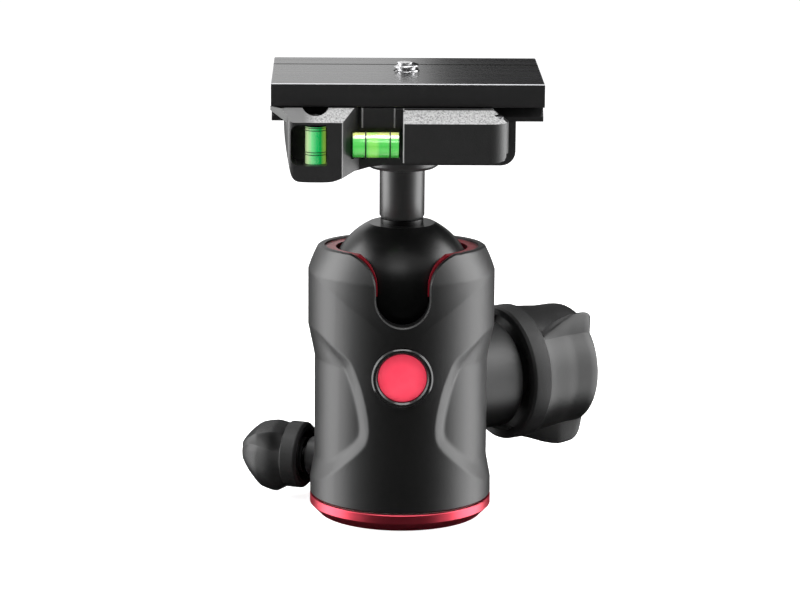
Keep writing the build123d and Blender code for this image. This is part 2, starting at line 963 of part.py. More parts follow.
seat_top = ball_centre - seat_inner * cos(radians(seat_half_angle))
with BuildPart() as ball_seat:
    with Locations((0, 0, ball_centre)):
        Sphere(seat_outer)
        Sphere(seat_inner, mode=Mode.SUBTRACT)
    extrude(
        ring_face(Plane.XY.offset(seat_top), 2 * seat_outer),
        amount=3 * seat_outer,
        mode=Mode.SUBTRACT,
    )
ball_seat.part.label = "ball_seat"
export_step(ball_seat.part, "parts/ball_seat.step")

# ================================================================ pan lock
with BuildPart() as pan_brake_pad:
    extrude(ring_face(across_plane(pan_direction, pan_height, 0), pad_radius), amount=pad_end)
    extrude(
        ring_face(top_view, spindle_radius + running),
        amount=2 * pan_height,
        mode=Mode.SUBTRACT,
    )
    extrude(
        ring_face(across_plane(pan_direction, pan_height, pad_bore_end), pan_tip_radius + running),
        amount=pad_end,
        mode=Mode.SUBTRACT,
    )
pan_brake_pad.part.label = "pan_brake_pad"
export_step(pan_brake_pad.part, "parts/pan_brake_pad.step")

with BuildPart() as pan_bush:
    extrude(
        ring_face(
            across_plane(pan_direction, pan_height, pan_bush_inner),
            pan_bush_radius,
            pan_stud_radius + running,
        ),
        amount=pan_bush_end - pan_bush_inner,
    )
    chamfer(pan_bush.faces().sort_by(pan_axis)[-1].edges(), pan_bush_edge)
pan_bush.part.label = "pan_bush"
export_step(pan_bush.part, "parts/pan_bush.step")

with BuildPart() as pan_stud:
    extrude(
        ring_face(across_plane(pan_direction, pan_height, pan_tip_inner), pan_tip_radius),
        amount=pan_stud_end - pan_tip_inner,
    )
    extrude(
        ring_face(across_plane(pan_direction, pan_height, pan_tip_outer), pan_stud_radius),
        amount=pan_stud_end - pan_tip_outer,
    )
pan_stud.part.label = "pan_stud"
export_step(pan_stud.part, "parts/pan_stud.step")

with BuildPart() as pan_knob:
    revolve(
        outline(
            pan_side,
            (pan_rim, 0),
            (pan_rim, pan_rim_radius),
            (pan_collar_start, pan_collar_radius),
            (pan_wing_start, pan_collar_radius),
            (pan_wing_start, 0),
        ),
        axis=pan_axis,
    )
    loft(
        [
            winged_face(
                across_plane(pan_direction, pan_height, distance),
                valley,
                tip,
                pan_wing_angle,
                pan_broad_spread,
                pan_steep_spread,
            )
            for distance, valley, tip in pan_sections
        ]
    )
    extrude(
        ring_face(
            across_plane(pan_direction, pan_height, pan_rim), pan_rim_radius - pan_skirt, pan_hub_radius
        ),
        amount=pan_hollow_end - pan_rim,
        mode=Mode.SUBTRACT,
    )
    extrude(
        ring_face(across_plane(pan_direction, pan_height, pan_rim), pan_stud_radius + seat),
        amount=pan_stud_end - pan_rim + seat,
        mode=Mode.SUBTRACT,
    )
pan_knob.part.label = "pan_knob"
export_step(pan_knob.part, "parts/pan_knob.step")

# ================================================================ ball and stem
with BuildPart() as ball:
    with Locations((0, 0, ball_centre)):
        Sphere(ball_radius)
    extrude(
        ring_face(Plane.XY.offset(ball_flat), ball_radius), amount=ball_radius, mode=Mode.SUBTRACT
    )
    extrude(ring_face(Plane.XY.offset(ball_flat), ball_neck_radius), amount=stem_foot - ball_flat)
    extrude(
        ring_face(Plane.XY.offset(stem_foot - spigot_length - spigot_end_play), spigot_radius + seat),
        amount=ball_radius,
        mode=Mode.SUBTRACT,
    )
ball.part.label = "ball"
export_step(ball.part, "parts/ball.step")

stem_neck = flange_foot - flange_cove
cove_share = 1 - sqrt(0.5)  # of a quarter round, at its middle
with BuildPart() as stem:
    with BuildSketch(front_view) as stem_profile:
        with BuildLine():
            Polyline(
                (0, flange_top),
                (0, stem_foot - spigot_length),
                (spigot_radius, stem_foot - spigot_length),
                (spigot_radius, stem_foot + seat),
                (stem_radius, stem_foot + seat),
                (stem_radius, stem_neck),
            )
            ThreePointArc(
                (stem_radius, stem_neck),
                (stem_radius + flange_cove * cove_share, flange_foot - flange_cove * cove_share),
                (stem_radius + flange_cove, flange_foot),
            )
            Polyline(
                (stem_radius + flange_cove, flange_foot),
                (flange_radius - flange_edge, flange_foot),
                (flange_radius, flange_foot + flange_edge),
                (flange_radius, flange_top),
                (0, flange_top),
            )
        make_face()
    revolve(stem_profile.sketch, axis=Axis.Z)
    extrude(
        ring_face(Plane.XY.offset(clamp_bolt_foot - clamp_bolt_end_play), clamp_bolt_radius + seat),
        amount=flange_top,
        mode=Mode.SUBTRACT,
    )
    with Locations((index_pin_offset, 0, flange_top)):
        Cylinder(index_pin_radius + seat, index_pin_length, mode=Mode.SUBTRACT)
stem.part.label = "stem"
export_step(stem.part, "parts/stem.step")

with BuildPart() as clamp_bolt:
    extrude(
        ring_face(Plane.XY.offset(clamp_bolt_foot), clamp_bolt_radius),
        amount=clamp_bolt_top - clamp_bolt_foot,
    )
    extrude(
        ring_face(Plane.XY.offset(clamp_bolt_seat), clamp_bolt_head_radius),
        amount=clamp_bolt_top - clamp_bolt_seat,
    )
    with BuildSketch(Plane.XY.offset(clamp_bolt_seat + clamp_bolt_socket_floor)):
        RegularPolygon(clamp_bolt_hex, 6)
    extrude(amount=clamp_bolt_top, mode=Mode.SUBTRACT)
clamp_bolt.part.label = "clamp_bolt"
export_step(clamp_bolt.part, "parts/clamp_bolt.step")

with BuildPart() as index_pin:
    with Locations((index_pin_offset, 0, flange_top)):
        Cylinder(index_pin_radius, index_pin_length - index_pin_play)
index_pin.part.label = "index_pin"
export_step(index_pin.part, "parts/index_pin.step")

# ================================================================ clamp
jaw_flank_y = dovetail_half + slide_play
flank_play = flank_foot + slide_play / 2
jaw_lip_y = jaw_flank_y - (jaw_top - flank_play)
brow_slope = (jaw_top - lever_brow) / (lever_back - lever_front)
pod_brow_y = pod_front + (jaw_top - pod_brow) / brow_slope
lip_height = jaw_top - lip_drop
lever_pivot_y = lever_front + lever_barrel_radius
pivot = (lever_pivot_x, lever_pivot_y)
jaw_leg_middle = (jaw_leg_left + jaw_right) / 2
end_view = Plane.YZ

with BuildPart() as clamp_body:
    with BuildSketch(Plane.XZ.offset(-clamp_front)) as block_profile:
        with BuildLine():
            Polyline(
                (clamp_right, flange_top + clamp_corner),
                (clamp_right, deck_height),
                (clamp_left, deck_height),
                (clamp_left, flange_top),
                (clamp_right - clamp_corner, flange_top),
            )
            RadiusArc(
                (clamp_right - clamp_corner, flange_top),
                (clamp_right, flange_top + clamp_corner),
                -clamp_corner,
            )
        make_face()
    extrude(block_profile.sketch, amount=clamp_front - clamp_back)
    # The pod of the upright level.
    with BuildSketch(Plane.XY.offset(pod_foot)) as pod_plan:
        with BuildLine():
            Polyline(
                (pod_left, pod_front),
                (pod_right, pod_front),
                (pod_back_right, clamp_front - pod_heel),
                (pod_back_right, clamp_front + pod_root),
                (pod_left, clamp_front + pod_root),
                close=True,
            )
        make_face()
        fillet(pod_plan.vertices().group_by(Axis.Y)[0].sort_by(Axis.X)[0], pod_corner)
    extrude(pod_plan.sketch, amount=jaw_top - pod_foot)
    extrude(
        outline(
            Plane.XZ.offset(-clamp_front - pod_root),
            (pod_left - pod_taper, pod_foot - pod_taper),
            (pod_left + pod_taper, pod_foot - pod_taper),
            (pod_left + pod_taper, pod_foot),
            (pod_left, pod_brow),
            (pod_left - pod_taper, pod_brow),
        ),
        amount=-pod_front,
        mode=Mode.SUBTRACT,
    )
    # The lip that carries the pod's brow out to the left.
    extrude(
        outline(
            Plane.XY.offset(deck_height - lip_root),
            (pod_left + lip_root, pod_front + lip_corner),
            (lip_reach, clamp_front - lip_root),
            (lip_reach, clamp_front - lip_root + lip_end),
            (pod_left + lip_root, clamp_front - lip_root + lip_end),
        ),
        amount=lip_height - deck_height + lip_root,
    )
    extrude(
        outline(
            Plane.XZ.offset(-clamp_front - pod_root),
            (pod_left, pod_foot),
            (pod_left, deck_height - lip_root),
            (lip_reach - lip_root, lip_height - lip_thickness),
            (lip_reach - lip_root, pod_foot),
        ),
        amount=-pod_front,
        mode=Mode.SUBTRACT,
    )
    # The cradle of the lying level.
    extrude(
        outline(
            Plane.XZ.offset(-clamp_front),
            (pod_right, pod_foot),
            (pod_right, cradle_top),
            (cradle_right, cradle_top),
            (cradle_right, cradle_foot),
            (cradle_right - cradle_chin, cradle_foot - cradle_chin_drop),
        ),
        amount=clamp_front - cradle_front,
    )
    # The brow over the pod, and the way for the dovetail.
    extrude(
        outline(
            end_view.offset(lip_reach - pod_root),
            (pod_front - pod_root, pod_brow - pod_root * brow_slope),
            (pod_brow_y, jaw_top),
            (pod_brow_y, plate_top),
            (pod_front - pod_root, plate_top),
        ),
        amount=-lip_reach,
        mode=Mode.SUBTRACT,
    )
    # The fixed jaw along the back.
    extrude(
        outline(
            end_view.offset(clamp_left),
            (jaw_flank_y, deck_height),
            (jaw_flank_y, flank_play),
            (jaw_lip_y, jaw_top),
            (clamp_back - clamp_bevel_depth, jaw_top),
            (clamp_back, jaw_top - clamp_bevel_height),
            (clamp_back, deck_height),
        ),
        amount=clamp_right - clamp_left,
    )
    extrude(
        outline(
            end_view.offset(lip_reach),
            (-jaw_flank_y, deck_height),
            (-jaw_flank_y, flank_play),
            (-jaw_lip_y, plate_top),
            (jaw_lip_y, plate_top),
            (jaw_lip_y, jaw_top),
            (jaw_flank_y, flank_play),
            (jaw_flank_y, deck_height),
        ),
        amount=-2 * lip_reach,
        mode=Mode.SUBTRACT,
    )
    # The window and seats of the upright level.
    with BuildSketch(Plane.XZ.offset(-window_back)) as window:
        with Locations(((window_left + window_right) / 2, (window_foot + window_top) / 2)):
            RectangleRounded(
                window_right - window_left, window_top - window_foot, window_corner
            )
    extrude(window.sketch, amount=-pod_front, mode=Mode.SUBTRACT)
    with Locations((tower_x, tower_y, tower_foot - seat)):
        Cylinder(
            tower_radius + seat,
            tower_top - tower_foot + 2 * seat,
            align=(Align.CENTER, Align.CENTER, Align.MIN),
            mode=Mode.SUBTRACT,
        )
    with Locations((tower_x, tower_y, tower_top)):
        Cylinder(
            plug_radius + seat,
            tower_top,
            align=(Align.CENTER, Align.CENTER, Align.MIN),
            mode=Mode.SUBTRACT,
        )
    # The seat of the lying level.
    with Locations(Location((level_left - seat, level_y, level_height), (0, 90, 0))):
        Cylinder(
            level_radius + seat,
            -2 * level_left,
            align=(Align.CENTER, Align.CENTER, Align.MIN),
            mode=Mode.SUBTRACT,
        )
    # The lug that the lever's pin stands in.
    with Locations((*pivot, lug_foot)):
        Cylinder(lug_radius, lug_top - lug_foot, align=(Align.CENTER, Align.CENTER, Align.MIN))
        Box(
            2 * lug_radius,
            clamp_front - lever_pivot_y,
            lug_top - lug_foot,
            align=(Align.CENTER, Align.MIN, Align.MIN),
        )
        Cylinder(lever_pin_radius + seat, jaw_top, mode=Mode.SUBTRACT)
    # The bores of the jaw's guide pins and springs.
    with BuildSketch(Plane.XZ.offset(-clamp_front)) as spring_wells:
        with Locations((jaw_leg_middle, guide_pin_height)):
            with GridLocations(guide_pin_pitch, 1, 2, 1):
                Circle(spring_well_radius)
    extrude(spring_wells.sketch, amount=-spring_well_depth, mode=Mode.SUBTRACT)
    with BuildSketch(Plane.XZ.offset(-clamp_front)) as pin_bores:
        with Locations((jaw_leg_middle, guide_pin_height)):
            with GridLocations(guide_pin_pitch, 1, 2, 1):
                Circle(guide_pin_radius + running)
    extrude(pin_bores.sketch, amount=-spring_well_depth - guide_pin_depth, mode=Mode.SUBTRACT)
    # The bolt and the index pin that hold the clamp on the stem.
    extrude(ring_face(top_view, clamp_bolt_radius + seat), amount=jaw_top, mode=Mode.SUBTRACT)
    extrude(
        ring_face(Plane.XY.offset(clamp_bolt_seat), clamp_bolt_head_radius + seat),
        amount=jaw_top,
        mode=Mode.SUBTRACT,
    )
    with Locations((index_pin_offset, 0, flange_top)):
        Cylinder(index_pin_radius + seat, index_pin_length, mode=Mode.SUBTRACT)
clamp_body.part.label = "clamp_body"
export_step(clamp_body.part, "parts/clamp_body.step")

with BuildPart() as vertical_level:
    with Locations((tower_x, tower_y, tower_foot)):
        Cylinder(tower_radius, tower_top - tower_foot, align=(Align.CENTER, Align.CENTER, Align.MIN))
    with Locations((tower_x, tower_y, tower_foot + tower_wall)):
        Cylinder(
            tower_bore,
            tower_top - tower_foot - 2 * tower_wall,
            align=(Align.CENTER, Align.CENTER, Align.MIN),
            mode=Mode.SUBTRACT,
        )
vertical_level.part.label = "vertical_level"
export_step(vertical_level.part, "parts/vertical_level.step")

with BuildPart() as vertical_spirit:
    with Locations((tower_x, tower_y, tower_foot + tower_wall)):
        Cylinder(
            tower_bore - spirit_gap,
            tower_top - tower_foot - 2 * tower_wall,
            align=(Align.CENTER, Align.CENTER, Align.MIN),
        )
vertical_spirit.part.label = "vertical_spirit"
export_step(vertical_spirit.part, "parts/vertical_spirit.step")

with BuildPart() as vertical_plug:
    with Locations((tower_x, tower_y, tower_top + seat)):
        Cylinder(plug_radius, plug_height, align=(Align.CENTER, Align.CENTER, Align.MIN))
vertical_plug.part.label = "vertical_plug"
export_step(vertical_plug.part, "parts/vertical_plug.step")

level_length = level_right - level_left
with BuildPart() as horizontal_level:
    with Locations(Location((level_left, level_y, level_height), (0, 90, 0))):
        Cylinder(level_radius, level_length, align=(Align.CENTER, Align.CENTER, Align.MIN))
    chamfer(horizontal_level.faces().sort_by(Axis.X)[0].edges(), level_chamfer)
    with Locations(Location((level_left + level_wall, level_y, level_height), (0, 90, 0))):
        Cylinder(
            level_bore,
            level_length - 2 * level_wall,
            align=(Align.CENTER, Align.CENTER, Align.MIN),
            mode=Mode.SUBTRACT,
        )
horizontal_level.part.label = "horizontal_level"
export_step(horizontal_level.part, "parts/horizontal_level.step")

with BuildPart() as horizontal_spirit:
    with Locations(Location((level_left + level_wall, level_y, level_height), (0, 90, 0))):
        Cylinder(
            level_bore - spirit_gap,
            level_length - 2 * level_wall,
            align=(Align.CENTER, Align.CENTER, Align.MIN),
        )
    with Locations(((level_left + level_right) / 2, level_y, level_height + level_bore)):
        Box(bubble_length, bubble_width, 2 * bubble_depth, mode=Mode.SUBTRACT)
horizontal_spirit.part.label = "horizontal_spirit"
export_step(horizontal_spirit.part, "parts/horizontal_spirit.step")

# ================================================================ lever and movable jaw
with BuildPart() as lever:
    with BuildSketch(Plane.XZ.offset(-lever_pivot_y)) as barrel_profile:
        with BuildLine():
            Polyline(
                (lever_pivot_x, lever_foot),
                (lever_pivot_x + lever_barrel_radius, lever_foot),
                (lever_pivot_x + lever_barrel_radius, lever_brow),
                (lever_pivot_x, lever_brow + brow_slope * lever_barrel_radius),
                close=True,
            )
        make_face()
    revolve(barrel_profile.sketch, axis=Axis((*pivot, 0), (0, 0, 1)))
    extrude(
        outline(
            end_view.offset(lever_left),
            (lever_front, lever_foot),
            (lever_front, lever_brow),
            (lever_back, jaw_top),
            (lever_back, lever_foot),
        ),
        amount=lever_pivot_x - lever_left,
    )
    fillet(
        lever.edges().filter_by(Axis.Z).group_by(Axis.X)[0].sort_by(Axis.Y)[0],
        lever_corner,
    )
    with Locations((*pivot, lug_top)):
        Cylinder(
            lever_pin_radius + running,
            jaw_top - lug_top - lever_pin_roof,
            align=(Align.CENTER, Align.CENTER, Align.MIN),
            mode=Mode.SUBTRACT,
        )
        Cylinder(
            lever_well_radius,
            lever_well_top - lug_top,
            align=(Align.CENTER, Align.CENTER, Align.MIN),
            mode=Mode.SUBTRACT,
        )
lever.part.label = "lever"
export_step(lever.part, "parts/lever.step")

with BuildPart() as lever_pin:
    with Locations((*pivot, lug_foot - lever_pin_head_height)):
        Cylinder(
            lever_pin_head_radius,
            lever_pin_head_height - lever_pin_head_gap,
            align=(Align.CENTER, Align.CENTER, Align.MIN),
        )
        Cylinder(
            lever_pin_radius,
            jaw_top - lug_foot + lever_pin_head_height - lever_pin_roof - lever_pin_end_play,
            align=(Align.CENTER, Align.CENTER, Align.MIN),
        )
lever_pin.part.label = "lever_pin"
export_step(lever_pin.part, "parts/lever_pin.step")


def coil(centre, direction, radius, pitch, length, wire):
    """One helical spring of round wire."""
    with BuildPart(mode=Mode.PRIVATE) as spring:
        with BuildLine() as helix:
            Helix(pitch=pitch, height=length, radius=radius, center=centre, direction=direction)
        start = Plane(origin=helix.line @ 0, z_dir=helix.line % 0)
        with BuildSketch(start) as section:
            Circle(wire)
        sweep(section.sketch, path=helix.line, is_frenet=True)
    return spring.part


with BuildPart() as lever_spring:
    add(
        coil(
            (*pivot, lug_top + lever_spring_wire + spring_end_play),
            (0, 0, 1),
            lever_spring_radius,
            lever_spring_pitch,
            lever_spring_length,
            lever_spring_wire,
        )
    )
lever_spring.part.label = "lever_spring"
export_step(lever_spring.part, "parts/lever_spring.step")

jaw_back = clamp_front - jaw_gap
guide_pin_end = clamp_front + spring_well_depth + guide_pin_depth - guide_pin_end_play
with BuildPart() as movable_jaw:
    extrude(
        outline(
            end_view.offset(jaw_left),
            (jaw_front, jaw_bar_foot),
            (jaw_front, jaw_top - jaw_edge),
            (jaw_front + jaw_edge, jaw_top),
            (-jaw_lip_y, jaw_top),
            (-jaw_flank_y, flank_play),
            (-jaw_flank_y, deck_height + jaw_deck_gap),
            (jaw_back, deck_height + jaw_deck_gap),
            (jaw_back, jaw_bar_foot),
        ),
        amount=jaw_right - jaw_left,
    )
    with Locations((jaw_leg_left, jaw_back, jaw_leg_foot)):
        Box(
            jaw_right - jaw_leg_left,
            jaw_back - jaw_front,
            jaw_top - jaw_leg_sink - jaw_leg_foot,
            align=(Align.MIN, Align.MAX, Align.MIN),
        )
    with BuildSketch(Plane.XZ.offset(-jaw_back)) as jaw_bores:
        with Locations((jaw_leg_middle, guide_pin_height)):
            with GridLocations(guide_pin_pitch, 1, 2, 1):
                Circle(guide_pin_radius + seat)
    extrude(jaw_bores.sketch, amount=jaw_back - jaw_front, mode=Mode.SUBTRACT)
movable_jaw.part.label = "movable_jaw"
export_step(movable_jaw.part, "parts/movable_jaw.step")

with BuildPart() as jaw_guide_pins:
    with BuildSketch(Plane.XZ.offset(-jaw_front - jaw_pin_sink)) as pin_faces:
        with Locations((jaw_leg_middle, guide_pin_height)):
            with GridLocations(guide_pin_pitch, 1, 2, 1):
                Circle(guide_pin_radius)
    extrude(pin_faces.sketch, amount=jaw_front - guide_pin_end)
jaw_guide_pins.part.label = "jaw_guide_pins"
export_step(jaw_guide_pins.part, "parts/jaw_guide_pins.step")

with BuildPart() as jaw_springs:
    for side in (-1, 1):
        add(
            coil(
                (
                    jaw_leg_middle + side * guide_pin_pitch / 2,
                    clamp_front + spring_well_depth - jaw_spring_wire - spring_end_play,
                    guide_pin_height,
                ),
                (0, -1, 0),
                jaw_spring_radius,
                jaw_spring_pitch,
                jaw_spring_length,
                jaw_spring_wire,
            )
        )
jaw_springs.part.label = "jaw_springs"
export_step(jaw_springs.part, "parts/jaw_springs.step")

# ================================================================ plate and camera screw
dovetail_foot = deck_height + dovetail_lift
with BuildPart() as quick_release_plate:
    with Locations((plate_centre, 0, slab_foot)):
        Box(
            plate_length,
            2 * plate_half_width,
            plate_top - slab_foot,
            align=(Align.CENTER, Align.CENTER, Align.MIN),
        )
    chamfer(quick_release_plate.faces().sort_by(Axis.Z)[-1].edges(), plate_edge)
    extrude(
        outline(
            end_view.offset(plate_left + dovetail_inset),
            (-dovetail_half, dovetail_foot),
            (-dovetail_half, flank_foot),
            (-dovetail_neck_half, slab_foot),
            (dovetail_neck_half, slab_foot),
            (dovetail_half, flank_foot),
            (dovetail_half, dovetail_foot),
        ),
        amount=plate_length - 2 * dovetail_inset,
    )
    with Locations((plate_centre, groove_y, plate_top)):
        Box(2 * plate_length, groove_width, 2 * groove_depth, mode=Mode.SUBTRACT)
    with Locations((plate_centre, 0, dovetail_foot)):
        Cylinder(
            screw_radius + screw_play,
            3 * plate_top,
            mode=Mode.SUBTRACT,
        )
        Cylinder(
            screw_well_radius,
            slab_foot - dovetail_foot + screw_well_sink,
            align=(Align.CENTER, Align.CENTER, Align.MIN),
            mode=Mode.SUBTRACT,
        )
quick_release_plate.part.label = "quick_release_plate"
export_step(quick_release_plate.part, "parts/quick_release_plate.step")

thread_foot = plate_top + screw_neck_rise
with BuildPart() as camera_screw:
    with Locations((plate_centre, 0, thread_foot)):
        Cylinder(
            screw_radius,
            plate_top + screw_rise - thread_foot,
            align=(Align.CENTER, Align.CENTER, Align.MIN),
        )
    chamfer(camera_screw.faces().sort_by(Axis.Z)[-1].edges(), screw_chamfer)
    with Locations((plate_centre, 0, screw_head_foot)):
        Cylinder(
            screw_neck_radius,
            thread_foot - screw_head_foot,
            align=(Align.CENTER, Align.CENTER, Align.MIN),
        )
        Cylinder(
            screw_head_radius,
            screw_head_height,
            align=(Align.CENTER, Align.CENTER, Align.MIN),
        )
        Box(
            3 * screw_head_radius,
            screw_slot,
            screw_slot_depth,
            align=(Align.CENTER, Align.CENTER, Align.MIN),
            mode=Mode.SUBTRACT,
        )
camera_screw.part.label = "camera_screw"
export_step(camera_screw.part, "parts/camera_screw.step")

with BuildPart() as screw_clip:
    with Locations((plate_centre, 0, clip_foot)):
        Cylinder(
            clip_radius,
            clip_thickness,
            align=(Align.CENTER, Align.CENTER, Align.MIN),
        )
        Cylinder(screw_neck_radius + seat, 4 * clip_thickness, mode=Mode.SUBTRACT)
        Box(
            screw_neck_radius * 1.6,
            2 * clip_radius,
            4 * clip_thickness,
            align=(Align.CENTER, Align.MIN, Align.CENTER),
            mode=Mode.SUBTRACT,
        )
screw_clip.part.label = "screw_clip"
export_step(screw_clip.part, "parts/screw_clip.step")
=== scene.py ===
"""Looks of a tripod ball head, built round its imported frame.

Lengths are in metres in Blender and in millimetres where a name ends in _mm or a docstring says so.
The drop notch faces -Y, the pan knob is on the -X side and the lock knob on the +X side.
"""
import logging
import math
from dataclasses import dataclass, field
from enum import Enum
from typing import Callable, Mapping, Sequence, Union

import bmesh
import bpy
import numpy as np
from mathutils import Matrix, Vector


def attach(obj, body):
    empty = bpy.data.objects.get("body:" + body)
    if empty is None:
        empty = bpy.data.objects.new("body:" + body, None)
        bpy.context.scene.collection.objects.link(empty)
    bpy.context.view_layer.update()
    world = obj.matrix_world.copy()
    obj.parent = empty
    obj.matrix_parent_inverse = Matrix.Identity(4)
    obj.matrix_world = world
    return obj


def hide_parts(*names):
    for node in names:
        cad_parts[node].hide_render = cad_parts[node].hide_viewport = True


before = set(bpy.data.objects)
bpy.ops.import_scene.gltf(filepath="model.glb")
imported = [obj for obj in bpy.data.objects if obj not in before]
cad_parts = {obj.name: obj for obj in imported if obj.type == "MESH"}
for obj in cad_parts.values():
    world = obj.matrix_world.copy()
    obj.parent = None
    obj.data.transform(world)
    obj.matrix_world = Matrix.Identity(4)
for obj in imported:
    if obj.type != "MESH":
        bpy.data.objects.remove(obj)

logging.basicConfig(level=logging.INFO, format="%(message)s")
log = logging.getLogger("ball_head")

MM = 0.001
Colour = tuple[float, float, float]
Stops = Sequence[tuple[float, Colour]]
Place = tuple[float, float]
Profile = Sequence[Place]
Outline = Sequence[Sequence[float]]


# ---------------------------------------------------------------- shader building
class Value:
    """A shader socket that takes part in Python arithmetic."""

    def __init__(self, graph: "Graph", socket: bpy.types.NodeSocket) -> None:
        """Wrap one output socket.

        Args:
            graph: The node graph that the socket belongs to.
            socket: The output socket.
        """
        self.graph = graph
        self.socket = socket

    def _math(self, operation: str, *terms: "Number") -> "Value":
        """Add one Math node.

        Args:
            operation: The Math node's operation.
            terms: What feeds its sockets, in order.

        Returns:
            The node's result.
        """
        links = dict(enumerate(terms))
        return self.graph.value("ShaderNodeMath", {"operation": operation}, links)

    def __add__(self, other: "Number") -> "Value":
        """Return self + other."""
        return self._math("ADD", self, other)

    def __radd__(self, other: "Number") -> "Value":
        """Return other + self."""
        return self._math("ADD", other, self)

    def __sub__(self, other: "Number") -> "Value":
        """Return self - other."""
        return self._math("SUBTRACT", self, other)

    def __rsub__(self, other: "Number") -> "Value":
        """Return other - self."""
        return self._math("SUBTRACT", other, self)

    def __mul__(self, other: "Number") -> "Value":
        """Return self * other."""
        return self._math("MULTIPLY", self, other)

    def __rmul__(self, other: "Number") -> "Value":
        """Return other * self."""
        return self._math("MULTIPLY", other, self)

    def above(self, edge: float, width: float) -> "Value":
        """Return a soft step.

        Args:
            edge: The value at which the step is half way.
            width: How much the value rises over the whole step.

        Returns:
            0 below the step, 1 above it.
        """
        settings = {"interpolation_type": "SMOOTHSTEP"}
        links = {"Value": self, "From Min": edge - width / 2, "From Max": edge + width / 2}
        return self.graph.value("ShaderNodeMapRange", settings, links, "Result")


Number = Union[float, Value]
Setting = Union[str, int, float, bool, Stops]
Input = Union[float, Value, Sequence[float], bpy.types.NodeSocket]


class Graph:
    """One node tree under construction."""

    def __init__(self, tree: bpy.types.NodeTree) -> None:
        """Empty the tree.

        Args:
            tree: A material's or world's node tree.
        """
        tree.nodes.clear()
        self.tree = tree

    def node(
        self, kind: str, settings: Mapping[str, Setting], links: Mapping[Union[str, int], Input]
    ) -> bpy.types.Node:
        """Add one node.

        Args:
            kind: The node's type.
            settings: Its properties, set first; "stops" are a ramp's positions and colours.
            links: What feeds its input sockets, by name or index: a number, a colour or a link.

        Returns:
            The new node.
        """
        made = self.tree.nodes.new(kind)
        for name, setting in settings.items():
            if name == "stops":
                ramp = made.color_ramp.elements
                while len(ramp) < len(setting):
                    ramp.new(0.5)
                for element, (position, colour) in zip(ramp, setting):
                    element.position = position
                    element.color = (*colour, 1.0)
            else:
                setattr(made, name, setting)
        for name, given in links.items():
            socket = made.inputs[name]
            if isinstance(given, Value):
                self.tree.links.new(given.socket, socket)
            elif isinstance(given, bpy.types.NodeSocket):
                self.tree.links.new(given, socket)
            else:
                socket.default_value = given
        return made

    def value(
        self,
        kind: str,
        settings: Mapping[str, Setting],
        links: Mapping[Union[str, int], Input],
        output: Union[str, int] = 0,
    ) -> Value:
        """Add one node and wrap one of its outputs.

        Args:
            kind: The node's type.
            settings: Its properties.
            links: What feeds its input sockets.
            output: The output socket's name or index.

        Returns:
            The output as a value.
        """
        return Value(self, self.node(kind, settings, links).outputs[output])

    def place(self, stretch: Sequence[float] = (1.0, 1.0, 1.0)) -> Value:
        """Return the surface's place in its own piece, in metres.

        Args:
            stretch: Scale along each axis.

        Returns:
            The place as a vector.
        """
        where = self.value("ShaderNodeTexCoord", {}, {}, "Object")
        return self.value("ShaderNodeVectorMath", {"operation": "MULTIPLY"}, {0: where, 1: stretch})

    def noise(self, where: Value, scale: float, detail: float = 2.0, rough: float = 0.5) -> Value:
        """Return a noise field from 0 to 1.

        Args:
            where: The place that it is read at.
            scale: Waves in a metre.
            detail: Octaves.
            rough: How strong the finer octaves are.

        Returns:
            The field.
        """
        links = {"Vector": where, "Scale": scale, "Detail": detail, "Roughness": rough}
        return self.value("ShaderNodeTexNoise", {}, links, "Fac")

    def along(self, axis: int, start_mm: float, end_mm: float) -> Value:
        """Return how far the surface's place lies from one level to another.

        Args:
            axis: 0, 1 or 2 for x, y or z.
            start_mm: Where the result is 0.
            end_mm: Where it is 1.

        Returns:
            The share, from 0 to 1.
        """
        part = self.value("ShaderNodeSeparateXYZ", {}, {0: self.place()}, axis)
        links = {"Value": part, "From Min": start_mm * MM, "From Max": end_mm * MM}
        return self.value("ShaderNodeMapRange", {}, links, "Result")

    def ramp(self, share: Value, stops: Stops) -> Value:
        """Return the colour that a ramp has at a share.

        Args:
            share: From 0 to 1.
            stops: The ramp's positions and colours.

        Returns:
            The colour.
        """
        return self.value("ShaderNodeValToRGB", {"stops": stops}, {0: share})

    def mix(self, share: Number, low: Input, high: Input) -> Value:
        """Return a mix of two colours.

        Args:
            share: 0 for low, 1 for high.
            low: A colour or a link.
            high: A colour or a link.

        Returns:
            The mixed colour.
        """
        links = {0: share, 6: with_alpha(low), 7: with_alpha(high)}
        return self.value("ShaderNodeMix", {"data_type": "RGBA"}, links, 2)

    def mottle(self, share: Number, colour: Colour, low: float, high: float) -> Value:
        """Return a colour that goes a little darker and lighter.

        Args:
            share: 0 for the darkest, 1 for the lightest.
            colour: The colour.
            low: How much of it the darkest has.
            high: How much of it the lightest has.

        Returns:
            The colour.
        """
        dark, light = (tuple(min(1.0, part * c) for c in colour) for part in (low, high))
        return self.mix(share, dark, light)

    def bump(self, height: Value, depth_mm: float) -> Value:
        """Return a normal for a relief.

        Args:
            height: The relief from 0 to 1.
            depth_mm: What a height of 1 stands for.

        Returns:
            The normal.
        """
        links = {"Height": height, "Distance": depth_mm * MM, "Strength": 1.0}
        return self.value("ShaderNodeBump", {}, links, "Normal")


def with_alpha(given: Input) -> Input:
    """Return a colour with its alpha, and anything else as it is.

    Args:
        given: What feeds a colour socket.

    Returns:
        The same, with a fourth number where it had three.
    """
    if isinstance(given, (tuple, list)) and len(given) == 3:
        return (*given, 1.0)
    return given


